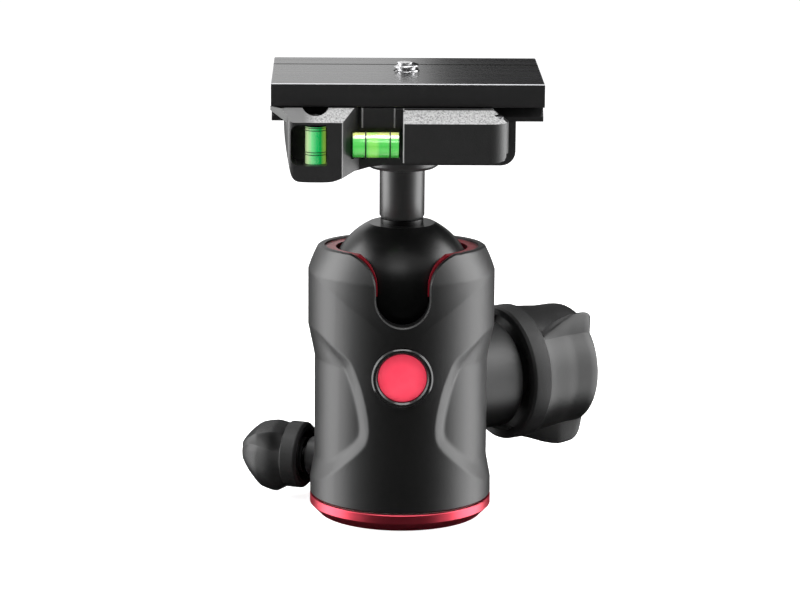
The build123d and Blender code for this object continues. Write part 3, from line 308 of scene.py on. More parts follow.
# ---------------------------------------------------------------- finishes
@dataclass(frozen=True)
class Finish:
    """One surface finish. Every finish dresses a Principled shader."""

    name: str
    colour: Colour
    roughness: float

    def paint(self, graph: Graph) -> dict[str, Input]:
        """Return what feeds the shader's sockets.

        Args:
            graph: The material's graph.

        Returns:
            The Principled shader's inputs by name.
        """
        return {"Base Color": with_alpha(self.colour), "Roughness": self.roughness}

    def material(self) -> bpy.types.Material:
        """Make the finish's material, once.

        Returns:
            The material.
        """
        made = bpy.data.materials.get(self.name)
        if made is not None:
            return made
        made = bpy.data.materials.new(self.name)
        made.use_nodes = True
        graph = Graph(made.node_tree)
        shader = graph.node("ShaderNodeBsdfPrincipled", {}, self.paint(graph))
        graph.node("ShaderNodeOutputMaterial", {}, {"Surface": shader.outputs["BSDF"]})
        return made


@dataclass(frozen=True)
class PowderCoat(Finish):
    """A baked powder coat: a fine orange-peel sand with faint mottling."""

    grain_mm: float = 0.32
    relief_mm: float = 0.035
    specular: float = 0.5

    def paint(self, graph: Graph) -> dict[str, Input]:
        """Return a mottled colour, an uneven gloss and the sand's relief.

        Args:
            graph: The material's graph.

        Returns:
            The shader's inputs by name.
        """
        where = graph.place()
        sand = graph.noise(where, 1 / (self.grain_mm * MM), 3.0, 0.6)
        cloud = graph.noise(where, 90.0, 2.0)
        return {
            "Base Color": graph.mottle(0.65 * cloud + 0.35 * sand, self.colour, 0.86, 1.14),
            "Roughness": self.roughness - 0.05 + 0.1 * sand,
            "Normal": graph.bump(sand, self.relief_mm),
            "Specular IOR Level": self.specular,
        }


@dataclass(frozen=True)
class Machined(Finish):
    """Bare or anodised metal with the fine lines of the tool that cut it."""

    metallic: float = 0.0
    lines: Sequence[float] = (0.05, 0.05, 1.0)
    line_scale: float = 900.0
    relief_mm: float = 0.008
    coat: float = 0.0
    specular: float = 0.5

    def paint(self, graph: Graph) -> dict[str, Input]:
        """Return streaks in colour, gloss and relief along the tool's way.

        Args:
            graph: The material's graph.

        Returns:
            The shader's inputs by name.
        """
        streak = graph.noise(graph.place(self.lines), self.line_scale, 4.0, 0.65)
        cloud = graph.noise(graph.place(), 60.0, 2.0)
        return {
            "Base Color": graph.mottle(0.5 * streak + 0.5 * cloud, self.colour, 0.85, 1.12),
            "Roughness": self.roughness - 0.06 + 0.12 * streak,
            "Metallic": self.metallic,
            "Coat Weight": self.coat,
            "Coat Roughness": 0.12,
            "Normal": graph.bump(streak, self.relief_mm),
            "Specular IOR Level": self.specular,
        }


@dataclass(frozen=True)
class Moulded(Finish):
    """Moulded plastic with a spark-eroded grain."""

    grain_mm: float = 0.3
    relief_mm: float = 0.02
    specular: float = 0.45

    def paint(self, graph: Graph) -> dict[str, Input]:
        """Return a clouded colour, a gloss that goes with it and the grain's relief.

        Args:
            graph: The material's graph.

        Returns:
            The shader's inputs by name.
        """
        where = graph.place()
        grain = graph.noise(where, 1 / (self.grain_mm * MM), 2.0, 0.55)
        cloud = graph.noise(where, 140.0, 2.0)
        return {
            "Base Color": graph.mottle(cloud, self.colour, 0.88, 1.12),
            "Roughness": self.roughness + 0.08 * cloud - 0.04,
            "Normal": graph.bump(grain, self.relief_mm),
            "Specular IOR Level": self.specular,
        }


@dataclass(frozen=True)
class Resin(Finish):
    """Glossy domed resin whose tint clouds from one colour to another, with a painted glow of its tint."""

    rim: Colour = (0.8, 0.1, 0.15)
    glow: float = 0.22

    def paint(self, graph: Graph) -> dict[str, Input]:
        """Return a clear coat over a lightly clouded tint.

        Args:
            graph: The material's graph.

        Returns:
            The shader's inputs by name.
        """
        cloud = graph.noise(graph.place(), 220.0, 3.0)
        tint = graph.mix(cloud.above(0.5, 0.8), self.colour, self.rim)
        return {
            "Base Color": tint,
            # painted glow: the badge gives off its own tint
            "Emission Color": tint,
            "Emission Strength": self.glow,
            "Roughness": self.roughness,
            "Coat Weight": 0.6,
            "Coat Roughness": 0.05,
        }


@dataclass(frozen=True)
class Clear(Finish):
    """A clear or tinted see-through solid."""

    ior: float = 1.49

    def paint(self, graph: Graph) -> dict[str, Input]:
        """Return full transmission with a faint haze in the gloss.

        Args:
            graph: The material's graph.

        Returns:
            The shader's inputs by name.
        """
        haze = graph.noise(graph.place(), 400.0, 2.0)
        return {
            "Base Color": with_alpha(self.colour),
            "Roughness": self.roughness + 0.04 * haze,
            "Transmission Weight": 1.0,
            "IOR": self.ior,
            "Specular IOR Level": 0.4,
        }


@dataclass(frozen=True)
class Sanded(Finish):
    """A powder coat painted lighter, as if lit from above: painted light grains on its coarse sand, fading
    to painted shade at the left.
    """

    light: Colour = (0.3, 0.3, 0.3)
    grain_mm: float = 0.45
    relief_mm: float = 0.09
    # where the painted light grains fade out to painted shade at the left, in millimetres along x
    painted_lit: tuple[float, float] = (-25.0, -21.5)

    def paint(self, graph: Graph) -> dict[str, Input]:
        """Return painted light grains that fade to painted shade at the left, and the sand's relief.

        Args:
            graph: The material's graph.

        Returns:
            The shader's inputs by name.
        """
        where = graph.place()
        sand = graph.noise(where, 1 / (self.grain_mm * MM), 3.0, 0.65)
        painted_lit = graph.along(0, *self.painted_lit)
        return {
            "Base Color": graph.mix(sand.above(0.46, 0.3) * painted_lit, self.colour, self.light),
            "Roughness": self.roughness + 0.4 - 0.4 * painted_lit + 0.2 * (sand - 0.5),
            "Specular IOR Level": 0.18,
            "Normal": graph.bump(sand, self.relief_mm),
        }


@dataclass(frozen=True)
class Spirit(Finish):
    """A fluorescent liquid that glows with the light that falls in it, paler at one side.

    The stops give its tint across the tube, from the first to the second number of its reach, with
    painted highlights and painted light refracted through the tube in it, and the patch is a paler
    stretch of painted light: where it starts and ends on the x axis, and its share.
    """

    stops: Stops = ()
    axis: int = 2
    reach: tuple[float, float] = (97.0, 104.0)
    glow: float = 0.6
    patch: tuple[float, float, float] = (0.0, 0.0, 0.0)
    patch_tint: Colour = (0.3, 0.7, 0.13)

    def paint(self, graph: Graph) -> dict[str, Input]:
        """Return a tint that changes across the tube, with its painted highlights, and a faint painted glow.

        Args:
            graph: The material's graph.

        Returns:
            The shader's inputs by name.
        """
        tint = graph.ramp(graph.along(self.axis, *self.reach), self.stops)
        start, end, share = self.patch
        if share:
            near = 1.0 - graph.along(0, start, end)
            lit = (near * (1.0 - near) * 4.0).above(0.5, 0.9) * share
            tint = graph.mix(lit, tint, self.patch_tint)
        wave = graph.noise(graph.place(), 260.0, 2.0)
        return {
            "Base Color": graph.mix(0.25 * wave, tint, self.colour),
            "Roughness": self.roughness,
            "Emission Color": tint,
            "Emission Strength": self.glow,
        }


class Finishes:
    """The object's finishes."""

    body_coat = PowderCoat("body_powder_coat", (0.006, 0.006, 0.0061), 0.43, 0.26, 0.02)
    clamp_coat = PowderCoat("clamp_powder_coat", (0.022, 0.022, 0.0222), 0.42, 0.34, 0.05)
    # lighter copy of the black coat: painted highlights on upright edges of the pod, the lever and the jaw's
    # pad
    edge_highlight_coat = PowderCoat("edge_highlight_powder_coat", (0.3, 0.3, 0.3), 0.4, 0.34, 0.03)
    # lighter copy of the clamp's black powder coat: painted light on the front slopes, fading to painted
    # shade at the left
    brow_coat = Sanded("brow_powder_coat", (0.2, 0.2, 0.2), 0.5, (0.52, 0.52, 0.52))
    plate_black = Machined("plate_anodised", (0.02, 0.02, 0.0204), 0.38, lines=(0.02, 1.0, 1.0))
    plate_top = Machined("plate_top", (0.012, 0.012, 0.0125), 0.27, 0.0, (0.02, 1.0, 1.0), specular=0.72)
    # lighter, metallic chamfer round the plate's top: a painted highlight line along its edge
    plate_edge = Machined("plate_highlight_edge", (0.16, 0.16, 0.165), 0.34, 0.9, (0.02, 1.0, 1.0))
    ball_black = Machined("ball_anodised", (0.004, 0.004, 0.004), 0.3, specular=0.28)
    stem_satin = Machined("stem_satin", (0.07, 0.07, 0.07), 0.34, 0.6)
    red_ring = Machined("red_anodised", (0.36, 0.01, 0.026), 0.26, 0.75, coat=0.3)
    steel = Machined("bright_steel", (0.62, 0.62, 0.63), 0.22, 1.0)
    dark_steel = Machined("dark_steel", (0.14, 0.14, 0.145), 0.34, 1.0)
    aluminium = Machined("turned_aluminium", (0.7, 0.7, 0.71), 0.3, 1.0)
    brass = Machined("turned_brass", (0.7, 0.5, 0.2), 0.28, 1.0)
    knob_black = Moulded("knob_moulding", (0.012, 0.012, 0.0122), 0.42)
    knob_grain = PowderCoat("knob_grain", (0.011, 0.011, 0.0112), 0.46, 0.28, 0.07, 0.3)
    knob_satin = Moulded("knob_satin", (0.008, 0.008, 0.0081), 0.42, 0.34, 0.012, 0.35)
    gloss_black = Moulded("bezel_black", (0.012, 0.012, 0.012), 0.18, 0.5, 0.004)
    # near-black for the level's printed lines, and a painted shadow on the clamp's lip under the plate
    print_and_shade_black = Moulded("print_and_shade_black", (0.01, 0.012, 0.01), 0.4)
    acetal = Moulded("white_acetal", (0.78, 0.77, 0.73), 0.4, 0.5, 0.006)
    liner_red = Moulded("liner_red", (0.3, 0.008, 0.02), 0.35, 0.3, 0.008)
    badge_red = Resin("badge_resin", (0.93, 0.05, 0.1), 0.15, (0.97, 0.075, 0.13))
    vial_clear = Clear("vial_acrylic", (0.95, 1.0, 0.85), 0.03)
    # a dark solid for the bubble: painted shade for the dark outline of an air bubble
    bubble = Moulded("bubble_rim", (0.1, 0.12, 0.04), 0.2)
    upright_spirit = Spirit(
        "upright_spirit",
        (0.02, 0.2, 0.04),
        0.2,
        (
            (0.0, (0.4, 0.5, 0.3)), (0.14, (0.75, 0.95, 0.6)), (0.34, (0.2, 0.72, 0.34)),
            (0.56, (0.004, 0.46, 0.14)), (0.74, (0.004, 0.4, 0.08)), (0.87, (0.3, 0.56, 0.08)),
            (1.0, (0.36, 0.44, 0.12)),
        ),
        axis=0,
        reach=(-24.75, -19.25),
    )
    lying_spirit = Spirit(
        "lying_spirit",
        (0.02, 0.2, 0.04),
        0.2,
        (
            (0.0, (0.05, 0.2, 0.05)), (0.12, (0.04, 0.34, 0.05)), (0.3, (0.055, 0.5, 0.08)),
            # the near-white band is a painted highlight and the pale yellow top a painted reflection
            (0.7, (0.055, 0.54, 0.085)), (0.74, (0.85, 1.0, 0.7)), (0.79, (0.85, 1.0, 0.7)),
            (0.81, (0.66, 0.66, 0.24)), (1.0, (0.72, 0.7, 0.35)),
        ),
        patch=(-9.6, -5.9, 0.6),
    )


def dress(piece: bpy.types.Object, finish: Finish) -> None:
    """Give a piece one finish all over.

    Args:
        piece: A mesh object.
        finish: Its finish.
    """
    piece.data.materials.clear()
    piece.data.materials.append(finish.material())


def dress_faces(
    piece: bpy.types.Object,
    finishes: Sequence[Finish],
    choose: Callable[[bpy.types.MeshPolygon], int],
) -> None:
    """Give each face of a piece one of several finishes.

    Args:
        piece: A mesh object.
        finishes: The finishes.
        choose: Which finish, by number, a face takes.
    """
    piece.data.materials.clear()
    for finish in finishes:
        piece.data.materials.append(finish.material())
    for face in piece.data.polygons:
        face.material_index = choose(face)


@dataclass(frozen=True)
class Seat:
    """Where a finished piece goes: the node that it stands for and its body, with a material slot that
    nothing here uses.
    """

    node: str
    body: str
    slot: str

    def take(self, piece: bpy.types.Object) -> bpy.types.Object:
        """Put a finished piece in the node's place.

        Args:
            piece: The piece.

        Returns:
            The same piece.
        """
        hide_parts(self.node)
        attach(piece, self.body)
        return piece


# ---------------------------------------------------------------- meshes
def add_mesh(name: str, points: np.ndarray, faces: Sequence[Sequence[int]]) -> bpy.types.Object:
    """Make a mesh object from points in millimetres.

    Args:
        name: The piece's name.
        points: Its vertices, one row each.
        faces: Vertex indices of each face.

    Returns:
        The new object, linked to the scene.
    """
    mesh = bpy.data.meshes.new(name)
    mesh.from_pydata((np.asarray(points) * MM).tolist(), [], faces)
    mesh.update()
    made = bpy.data.objects.new(name, mesh)
    bpy.context.scene.collection.objects.link(made)
    return made


def grid_faces(rows: int, columns: int, closed_rows: bool) -> list[tuple[int, int, int, int]]:
    """Return the quads of a grid that is closed round its columns.

    Args:
        rows: Number of rows of points.
        columns: Points in each row.
        closed_rows: Whether the last row joins the first.

    Returns:
        Vertex indices of each quad.
    """
    faces = []
    for row in range(rows if closed_rows else rows - 1):
        low, high = row * columns, (row + 1) % rows * columns
        for column in range(columns):
            following = (column + 1) % columns
            faces.append((low + column, low + following, high + following, high + column))
    return faces


def tube_faces(rows: int, columns: int) -> list[tuple[int, ...]]:
    """Return the faces of a grid that is closed round its columns and at both its ends.

    Args:
        rows: Number of rows of points.
        columns: Points in each row.

    Returns:
        Vertex indices of each quad, then of the two ends.
    """
    last = (rows - 1) * columns
    ends = [tuple(reversed(range(columns))), tuple(range(last, last + columns))]
    return grid_faces(rows, columns, False) + ends


def face_out(piece: bpy.types.Object) -> None:
    """Turn every face of a closed piece outwards.

    Args:
        piece: A mesh object.
    """
    tidy = bmesh.new()
    tidy.from_mesh(piece.data)
    bmesh.ops.recalc_face_normals(tidy, faces=tidy.faces)
    tidy.to_mesh(piece.data)
    tidy.free()


def loft(name: str, rings: Sequence[np.ndarray]) -> bpy.types.Object:
    """Join rings of points, one after another, into a solid with closed ends.

    Args:
        name: The piece's name.
        rings: Points in millimetres, the same number in each ring.

    Returns:
        The solid.
    """
    piece = add_mesh(name, np.vstack(rings), tube_faces(len(rings), len(rings[0])))
    face_out(piece)
    return piece


def shade(piece: bpy.types.Object, angle: float = 32.0) -> None:
    """Shade a piece smoothly, with sharp edges where its faces turn by more than an angle.

    Args:
        piece: A mesh object.
        angle: The angle in degrees.
    """
    piece.data.shade_smooth()
    piece.data.set_sharp_from_angle(angle=math.radians(angle))


def soften(piece: bpy.types.Object, width_mm: float, angle: float = 40.0, segments: int = 2) -> None:
    """Round a piece's crisp edges with a bevel that leaves its own mesh alone.

    Args:
        piece: A mesh object.
        width_mm: The bevel's width.
        angle: Edges sharper than this, in degrees, are rounded.
        segments: Steps of the round.
    """
    flat = piece.modifiers.new("flat_faces", "DECIMATE")
    flat.decimate_type = "DISSOLVE"
    flat.angle_limit = math.radians(0.6)
    flat.delimit = {"NORMAL"}
    edge = piece.modifiers.new("edges", "BEVEL")
    edge.width = width_mm * MM
    edge.segments = segments
    edge.limit_method = "ANGLE"
    edge.angle_limit = math.radians(angle)
    edge.harden_normals = False
    edge.use_clamp_overlap = True


# ---------------------------------------------------------------- curves and outlines
def smooth_step(low: float, high: float, value: np.ndarray) -> np.ndarray:
    """Return 0 below low, 1 above high, and a smooth rise between them."""
    share = np.clip((value - low) / (high - low), 0.0, 1.0)
    return share * share * (3 - 2 * share)


def soft_min(one: np.ndarray, other: np.ndarray, round_mm: float) -> np.ndarray:
    """Return the lower of two depths, rounded where they meet.

    Args:
        one: A depth.
        other: Another depth.
        round_mm: How wide the round is.

    Returns:
        The rounded lower depth.
    """
    share = np.clip(0.5 + 0.5 * (other - one) / round_mm, 0.0, 1.0)
    return other * (1 - share) + one * share - round_mm * share * (1 - share)


def eased(marks: Sequence[float], values: Sequence[float], at: np.ndarray) -> np.ndarray:
    """Return a smooth curve through values at rising marks, with no overshoot.

    Args:
        marks: Where the values stand, rising.
        values: The curve's values there.
        at: Where the curve is read.

    Returns:
        One value for each place.
    """
    x, y = np.asarray(marks, float), np.asarray(values, float)
    rise = np.diff(y) / np.diff(x)
    tangent = np.concatenate([rise[:1], np.zeros(len(x) - 2), rise[-1:]])
    same = rise[:-1] * rise[1:] > 0
    tangent[1:-1][same] = 2 * rise[:-1][same] * rise[1:][same] / (rise[:-1][same] + rise[1:][same])
    step = np.clip(np.searchsorted(x, at, side="right") - 1, 0, len(x) - 2)
    width = x[step + 1] - x[step]
    t = np.clip((at - x[step]) / width, 0.0, 1.0)
    start = y[step] * (1 + 2 * t) + tangent[step] * width * t
    end = y[step + 1] * (3 - 2 * t) - tangent[step + 1] * width * (1 - t)
    return start * (1 - t) ** 2 + end * t * t


def circle_through(a: Place, b: Place, c: Place) -> tuple[float, float, float]:
    """Find the circle through three places.

    Args:
        a: A place.
        b: Another place.
        c: A third place.

    Returns:
        The centre's two coordinates and the radius.
    """
    (ax, ay), (bx, by), (cx, cy) = a, b, c
    d = 2 * (ax * (by - cy) + bx * (cy - ay) + cx * (ay - by))
    aa, bb, cc = ax * ax + ay * ay, bx * bx + by * by, cx * cx + cy * cy
    x = (aa * (by - cy) + bb * (cy - ay) + cc * (ay - by)) / d
    y = (aa * (cx - bx) + bb * (ax - cx) + cc * (bx - ax)) / d
    return x, y, math.hypot(ax - x, ay - y)


def distance_to_line(points: np.ndarray, line: np.ndarray) -> np.ndarray:
    """Return each point's distance to a line of straight runs.

    Args:
        points: Points in a plane, one row each.
        line: The line's corners, one row each.

    Returns:
        One distance for each point.
    """
    nearest = np.full(len(points), 1e9)
    for start, end in zip(line[:-1], line[1:]):
        run = end - start
        share = np.clip((points - start) @ run / (run @ run), 0.0, 1.0)
        nearest = np.minimum(nearest, np.linalg.norm(points - start - share[:, None] * run, axis=1))
    return nearest


def inside(points: np.ndarray, outline: np.ndarray) -> np.ndarray:
    """Return which points lie inside a closed outline.

    Args:
        points: Points in a plane, one row each.
        outline: The outline's corners, one row each.

    Returns:
        True or False for each point.
    """
    odd = np.zeros(len(points), bool)
    for (x0, y0), (x1, y1) in zip(outline, np.roll(outline, -1, axis=0)):
        if y0 == y1:
            continue
        spans = (points[:, 1] >= min(y0, y1)) & (points[:, 1] < max(y0, y1))
        crossing = x0 + (points[:, 1] - y0) * (x1 - x0) / (y1 - y0)
        odd ^= spans & (points[:, 0] < crossing)
    return odd


def rounded(line: Profile, rounds: int = 3) -> np.ndarray:
    """Return a line of runs with its corners cut back, its two ends kept.

    Args:
        line: The line's corners.
        rounds: How often every corner is cut.

    Returns:
        The line's points, one row each.
    """
    points = np.array(line, float)
    for _ in range(rounds):
        quarter = 0.75 * points[:-1] + 0.25 * points[1:]
        three = 0.25 * points[:-1] + 0.75 * points[1:]
        inner = np.stack([quarter, three], axis=1).reshape(-1, 2)
        points = np.vstack([points[:1], inner[1:-1], points[-1:]])
    return points


def corner_arcs(corners: Sequence[Sequence[float]], steps: int = 6) -> np.ndarray:
    """Return a closed outline with rounded corners.

    Args:
        corners: Each corner's two coordinates and, where it is rounded, its radius.
        steps: Runs in each arc.

    Returns:
        The outline's points, one row each.
    """
    flat = []
    for index, corner in enumerate(corners):
        here = np.array(corner[:2], float)
        if len(corner) < 3:
            flat.append(here)
            continue
        ways = [np.array(corners[k % len(corners)][:2], float) - here for k in (index - 1, index + 1)]
        before, after = (way / np.linalg.norm(way) for way in ways)
        half = math.acos(float(np.clip(before @ after, -1, 1))) / 2
        middle = (before + after) / np.linalg.norm(before + after)
        centre = here + middle * corner[2] / math.sin(half)
        start, end = (here + way * corner[2] / math.tan(half) - centre for way in (before, after))
        sweep = math.pi - 2 * half
        for share in np.linspace(0, 1, steps + 1):
            arm = math.sin((1 - share) * sweep) * start + math.sin(share * sweep) * end
            flat.append(centre + arm / math.sin(sweep))
    return np.array(flat)


def ring(radius: np.ndarray, azimuth: np.ndarray, height: np.ndarray) -> np.ndarray:
    """Return points round the Z axis.

    Args:
        radius: Distance from the axis in millimetres.
        azimuth: Angle in degrees: 0 at the front, 90 on the +X side.
        height: Height in millimetres.

    Returns:
        One point a row.
    """
    turn = np.radians(azimuth)
    radius, height = np.broadcast_to(radius, turn.shape), np.broadcast_to(height, turn.shape)
    return np.stack([radius * np.sin(turn), -radius * np.cos(turn), height], axis=1)


# ---------------------------------------------------------------- solids
class Change(Enum):
    """What a tool does to a solid, as the Boolean modifier calls it."""

    JOIN = "UNION"
    CUT = "DIFFERENCE"
    KEEP = "INTERSECT"


def combine(piece: bpy.types.Object, change: Change, *tools: bpy.types.Object) -> None:
    """Change one solid by others, one after another, and remove them.

    Args:
        piece: The solid that changes.
        change: What the others do to it.
        tools: The other solids.
    """
    for tool in tools:
        step = piece.modifiers.new("combine", "BOOLEAN")
        step.operation, step.solver, step.object = change.value, "EXACT", tool
        graph = bpy.context.evaluated_depsgraph_get()
        made = bpy.data.meshes.new_from_object(piece.evaluated_get(graph))
        piece.modifiers.clear()
        old, piece.data = piece.data, made
        bpy.data.meshes.remove(old)
        bpy.data.objects.remove(tool)


def turned(name: str, profile: Profile, place: Matrix, steps: int = 96) -> bpy.types.Object:
    """Turn a profile into a solid.

    Args:
        name: The piece's name.
        profile: Distance along the axis and radius, both in millimetres, from end to end.
        place: Where the axis, which is local Z, goes, in millimetres.
        steps: Points round the axis.

    Returns:
        The solid.
    """
    turn = np.arange(steps) * math.tau / steps
    rings = [np.stack([r * np.cos(turn), r * np.sin(turn), 0 * turn + along], 1) for along, r in profile]
    points = np.vstack(rings) @ np.array(place.to_3x3()).T + np.array(place.translation)
    return add_mesh(name, points, tube_faces(len(rings), steps))


def post(name: str, x: float, y: float, radius: float, low: float, high: float) -> bpy.types.Object:
    """Return an upright round solid from one height to another, in millimetres."""
    return turned(name, ((low, radius), (high, radius)), Matrix.Translation((x, y, 0)), 64)


class Along(Enum):
    """The axis that an outline is pushed along, as the columns that its two sides and level go to."""

    X = (2, 0, 1)
    Y = (0, 2, 1)
    Z = (0, 1, 2)


def rod(name: str, axis: Along, place: Sequence[float], radius: float, length: float) -> bpy.types.Object:
    """Make a round solid that runs along X or Y.

    Args:
        name: The piece's name.
        axis: The axis that it runs along.
        place: Its lower end in millimetres.
        radius: Its radius.
        length: Its length.

    Returns:
        The solid.
    """
    turn = Matrix.Rotation(math.pi / 2, 4, "Y") if axis is Along.X else Matrix.Rotation(-math.pi / 2, 4, "X")
    return turned(name, ((0.0, radius), (length, radius)), Matrix.Translation(place) @ turn, 64)


def prism(name: str, outline: Outline, along: Along, low: float, high: float) -> bpy.types.Object:
    """Push a closed outline along an axis.

    Args:
        name: The piece's name.
        outline: The outline's corners in millimetres: (y, z), (x, z) or (x, y).
        along: The axis.
        low: Where the solid starts on the axis.
        high: Where it ends.

    Returns:
        The solid.
    """
    flat = np.asarray(outline, float)
    ends = [np.column_stack([flat, np.full(len(flat), level)]) for level in (low, high)]
    return loft(name, [end[:, along.value] for end in ends])


# ---------------------------------------------------------------- body
@dataclass(frozen=True)
class LevelAxis:
    """A level axis out of the Z axis: azimuth 0 is at the front, 90 on the +X side.

    The azimuth is in degrees and the height in millimetres.
    """

    azimuth: float
    height: float

    def out(self) -> np.ndarray:
        """Return the way that the axis points."""
        turn = math.radians(self.azimuth)
        return np.array([math.sin(turn), -math.cos(turn), 0.0])

    def frame(self) -> Matrix:
        """Return a frame whose Z runs out along the axis and whose X is up.

        Returns:
            The frame, in millimetres.
        """
        out, up = Vector(self.out()), Vector((0, 0, 1))
        turn = Matrix((up, out.cross(up), out)).transposed()
        return Matrix.Translation((0, 0, self.height)) @ turn.to_4x4()


LOCK_AXIS = LevelAxis(122.5, 32.7)
PAN_AXIS = LevelAxis(-111.0, 11.9)


@dataclass
class Housing:
    """The cast body: a turned form with two scoops a side, a notch, a badge recess and a boss.

    Lengths in millimetres, angles in degrees from the front.
    """

    columns: int = 480
    rows: int = 190
    inner_rows: int = 24
    upright_share: float = 0.25
    foot: float = 5.0
    foot_edge: float = 0.4
    ball_height: float = 59.5
    profile: Profile = ((5.0, 23.4), (8.6, 23.4), (50.0, 24.0), (64.1, 24.0))
    bevel: Sequence[tuple[float, float]] = ((64.1, 24.0), (67.6, 22.7), (71.6, 20.7))
    waist: Profile = ((8.8, 23.4), (15.0, 22.3), (41.5, 22.3), (50.3, 24.0))
    crease: Profile = (
        (90.0, 50.3), (70.0, 50.7), (59.0, 49.6), (44.0, 46.8), (33.5, 44.5), (29.0, 41.0), (24.5, 36.5),
        (20.5, 29.3), (20.2, 24.5), (24.3, 21.0), (40.5, 15.6), (54.6, 11.7), (70.0, 9.4), (90.0, 8.8),
    )
    front_slope: float = 0.42
    side_slope: float = 0.21
    slope_change: tuple[float, float] = (38.0, 80.0)
    crease_round: float = 0.3
    floor_round: float = 0.25
    beyond_side: float = 95.0
    facet: Profile = (
        (0.0, 49.4), (8.0, 50.6), (14.0, 52.6), (21.5, 55.1), (33.0, 57.8), (44.0, 60.3), (57.0, 62.6),
        (68.0, 63.6), (78.0, 64.1), (86.0, 65.0), (88.0, 68.0), (88.0, 72.0),
    )
    facet_depth: float = 0.5
    facet_reach: float = 3.8
    facet_rise: tuple[float, float] = (4.0, 20.0)
    notch_half: float = 6.75
    notch_lift: float = 0.85
    notch_flare: float = 8.5
    rim_height: float = 70.3
    rim_rise: float = 0.05
    corner_azimuth: float = 60.0
    corner_round: float = 0.12
    edge: float = 0.36
    chamber_radius: float = 19.8
    chamber_foot: float = 50.6
    guide_radius: float = 18.5
    web_top: float = 18.4
    bore_radius: float = 9.06
    badge_height: float = 40.5
    badge_radius: float = 7.85
    badge_floor: float = 21.8
    badge_mouth: tuple[float, float] = (23.75, 24.6)
    badge_flare: float = 0.85
    boss_start: float = 12.0
    boss_radius: float = 14.0
    boss_end: float = 29.7
    boss_edge: float = 0.8
    guide: Profile = ((11.6, 7.21), (20.0, 7.21))
    lock_bores: Sequence[Profile] = (((11.0, 6.06), (25.0, 6.06)), ((22.325, 7.03), (31.0, 7.03)))
    pan_bores: Sequence[Profile] = (((8.0, 3.56), (16.0, 3.56)), ((15.4, 5.03), (30.0, 5.03)))

    @property
    def top_radius(self) -> float:
        """Return the turned form's radius at its top."""
        return self.profile[-1][1]

    @property
    def azimuths(self) -> np.ndarray:
        """Return each column's azimuth at the foot."""
        return (np.arange(self.columns) - self.columns / 2 + 0.5) * 360 / self.columns

    def turned_radius(self, height: np.ndarray) -> np.ndarray:
        """Return the plain turned form's radius.

        Args:
            height: Heights.

        Returns:
            One radius for each height.
        """
        straight = np.interp(height, *zip(*self.profile))
        x, y, radius = circle_through(*self.bevel)
        arc = y + np.sqrt(np.maximum(radius**2 - (height - x) ** 2, 0.0))
        return np.where(height > self.bevel[0][0], arc, straight)

    def scoop_depth(self, azimuth: np.ndarray, height: np.ndarray, plain: np.ndarray) -> np.ndarray:
        """Return how deep the side scoops cut.

        Args:
            azimuth: Angles round the body.
            height: Heights.
            plain: The turned form's radius there.

        Returns:
            One depth for each place.
        """
        side = np.minimum(np.abs(azimuth), 180 - np.abs(azimuth))
        scale = math.radians(self.top_radius)
        line = rounded([(a * scale, z) for a, z in self.crease])
        places = np.stack([side * scale, height], axis=1)
        ends = [(self.beyond_side * scale, line[-1][1]), (self.beyond_side * scale, line[0][1])]
        within = inside(places, np.vstack([line, ends]))
        away = distance_to_line(places, line)
        steeper = smooth_step(*self.slope_change, side)
        slope = self.front_slope + (self.side_slope - self.front_slope) * steeper
        floor = np.maximum(plain - np.interp(height, *zip(*self.waist)), 0.0)
        ramp = np.maximum(slope * (np.hypot(away, self.crease_round) - self.crease_round), 0.0)
        return np.where(within, np.maximum(soft_min(ramp, floor, self.floor_round), 0.0), 0.0)

    def facet_cut(self, azimuth: np.ndarray, height: np.ndarray) -> np.ndarray:
        """Return how deep the facets beside the notch cut.

        Args:
            azimuth: Angles round the body.
            height: Heights.

        Returns:
            One depth for each place.
        """
        side = np.abs(azimuth)
        scale = math.radians(self.top_radius)
        line = rounded([(a * scale, z) for a, z in self.facet], 2)
        places = np.stack([side * scale, height], axis=1)
        within = inside(places, np.vstack([line, [(-5.0, 80.0), (-5.0, line[0][1])]]))
        away = distance_to_line(places, line)
        depth = self.facet_depth * (1 - np.exp(-away / self.facet_reach))
        return np.where(within, depth * smooth_step(*self.facet_rise, side), 0.0)

    def skin(self, azimuth: np.ndarray, height: np.ndarray) -> np.ndarray:
        """Return the outer surface's radius.

        Args:
            azimuth: Angles round the body.
            height: Heights.

        Returns:
            One radius for each place.
        """
        plain = self.turned_radius(height)
        return plain - self.scoop_depth(azimuth, height, plain) - self.facet_cut(azimuth, height)

    def top_edge(self, shift: float) -> tuple[np.ndarray, np.ndarray]:
        """Return the upper edge, notch and rim, as seen square on.

        Args:
            shift: How far into the material the line runs.

        Returns:
            For each column, the place across (x in the notch, azimuth on the rim) and the height.
        """
        half, flare = self.notch_half, self.notch_flare
        centre = self.ball_height + self.notch_lift
        front = math.sqrt(self.top_radius**2 - (half + flare) ** 2)
        corner = self.rim_height + self.rim_rise * front - flare
        lengths = np.array([half * math.pi / 2, corner - centre, flare * math.pi / 2])
        marks = np.cumsum(lengths)
        share = np.abs(self.azimuths) / self.corner_azimuth
        along = np.minimum(share, 1.0) * marks[2]
        turn_low = along / half
        turn_high = (along - marks[1]) / flare
        x = np.where(
            along < marks[0],
            (half + shift) * np.sin(turn_low),
            np.where(
                along < marks[1],
                half + shift,
                half + flare - (flare - shift) * np.cos(np.maximum(turn_high, 0)),
            ),
        )
        z = np.where(
            along < marks[0],
            centre - (half + shift) * np.cos(turn_low),
            np.where(
                along < marks[1], centre + along - marks[0], corner + (flare - shift) * np.sin(turn_high)
            ),
        )
        return x, z

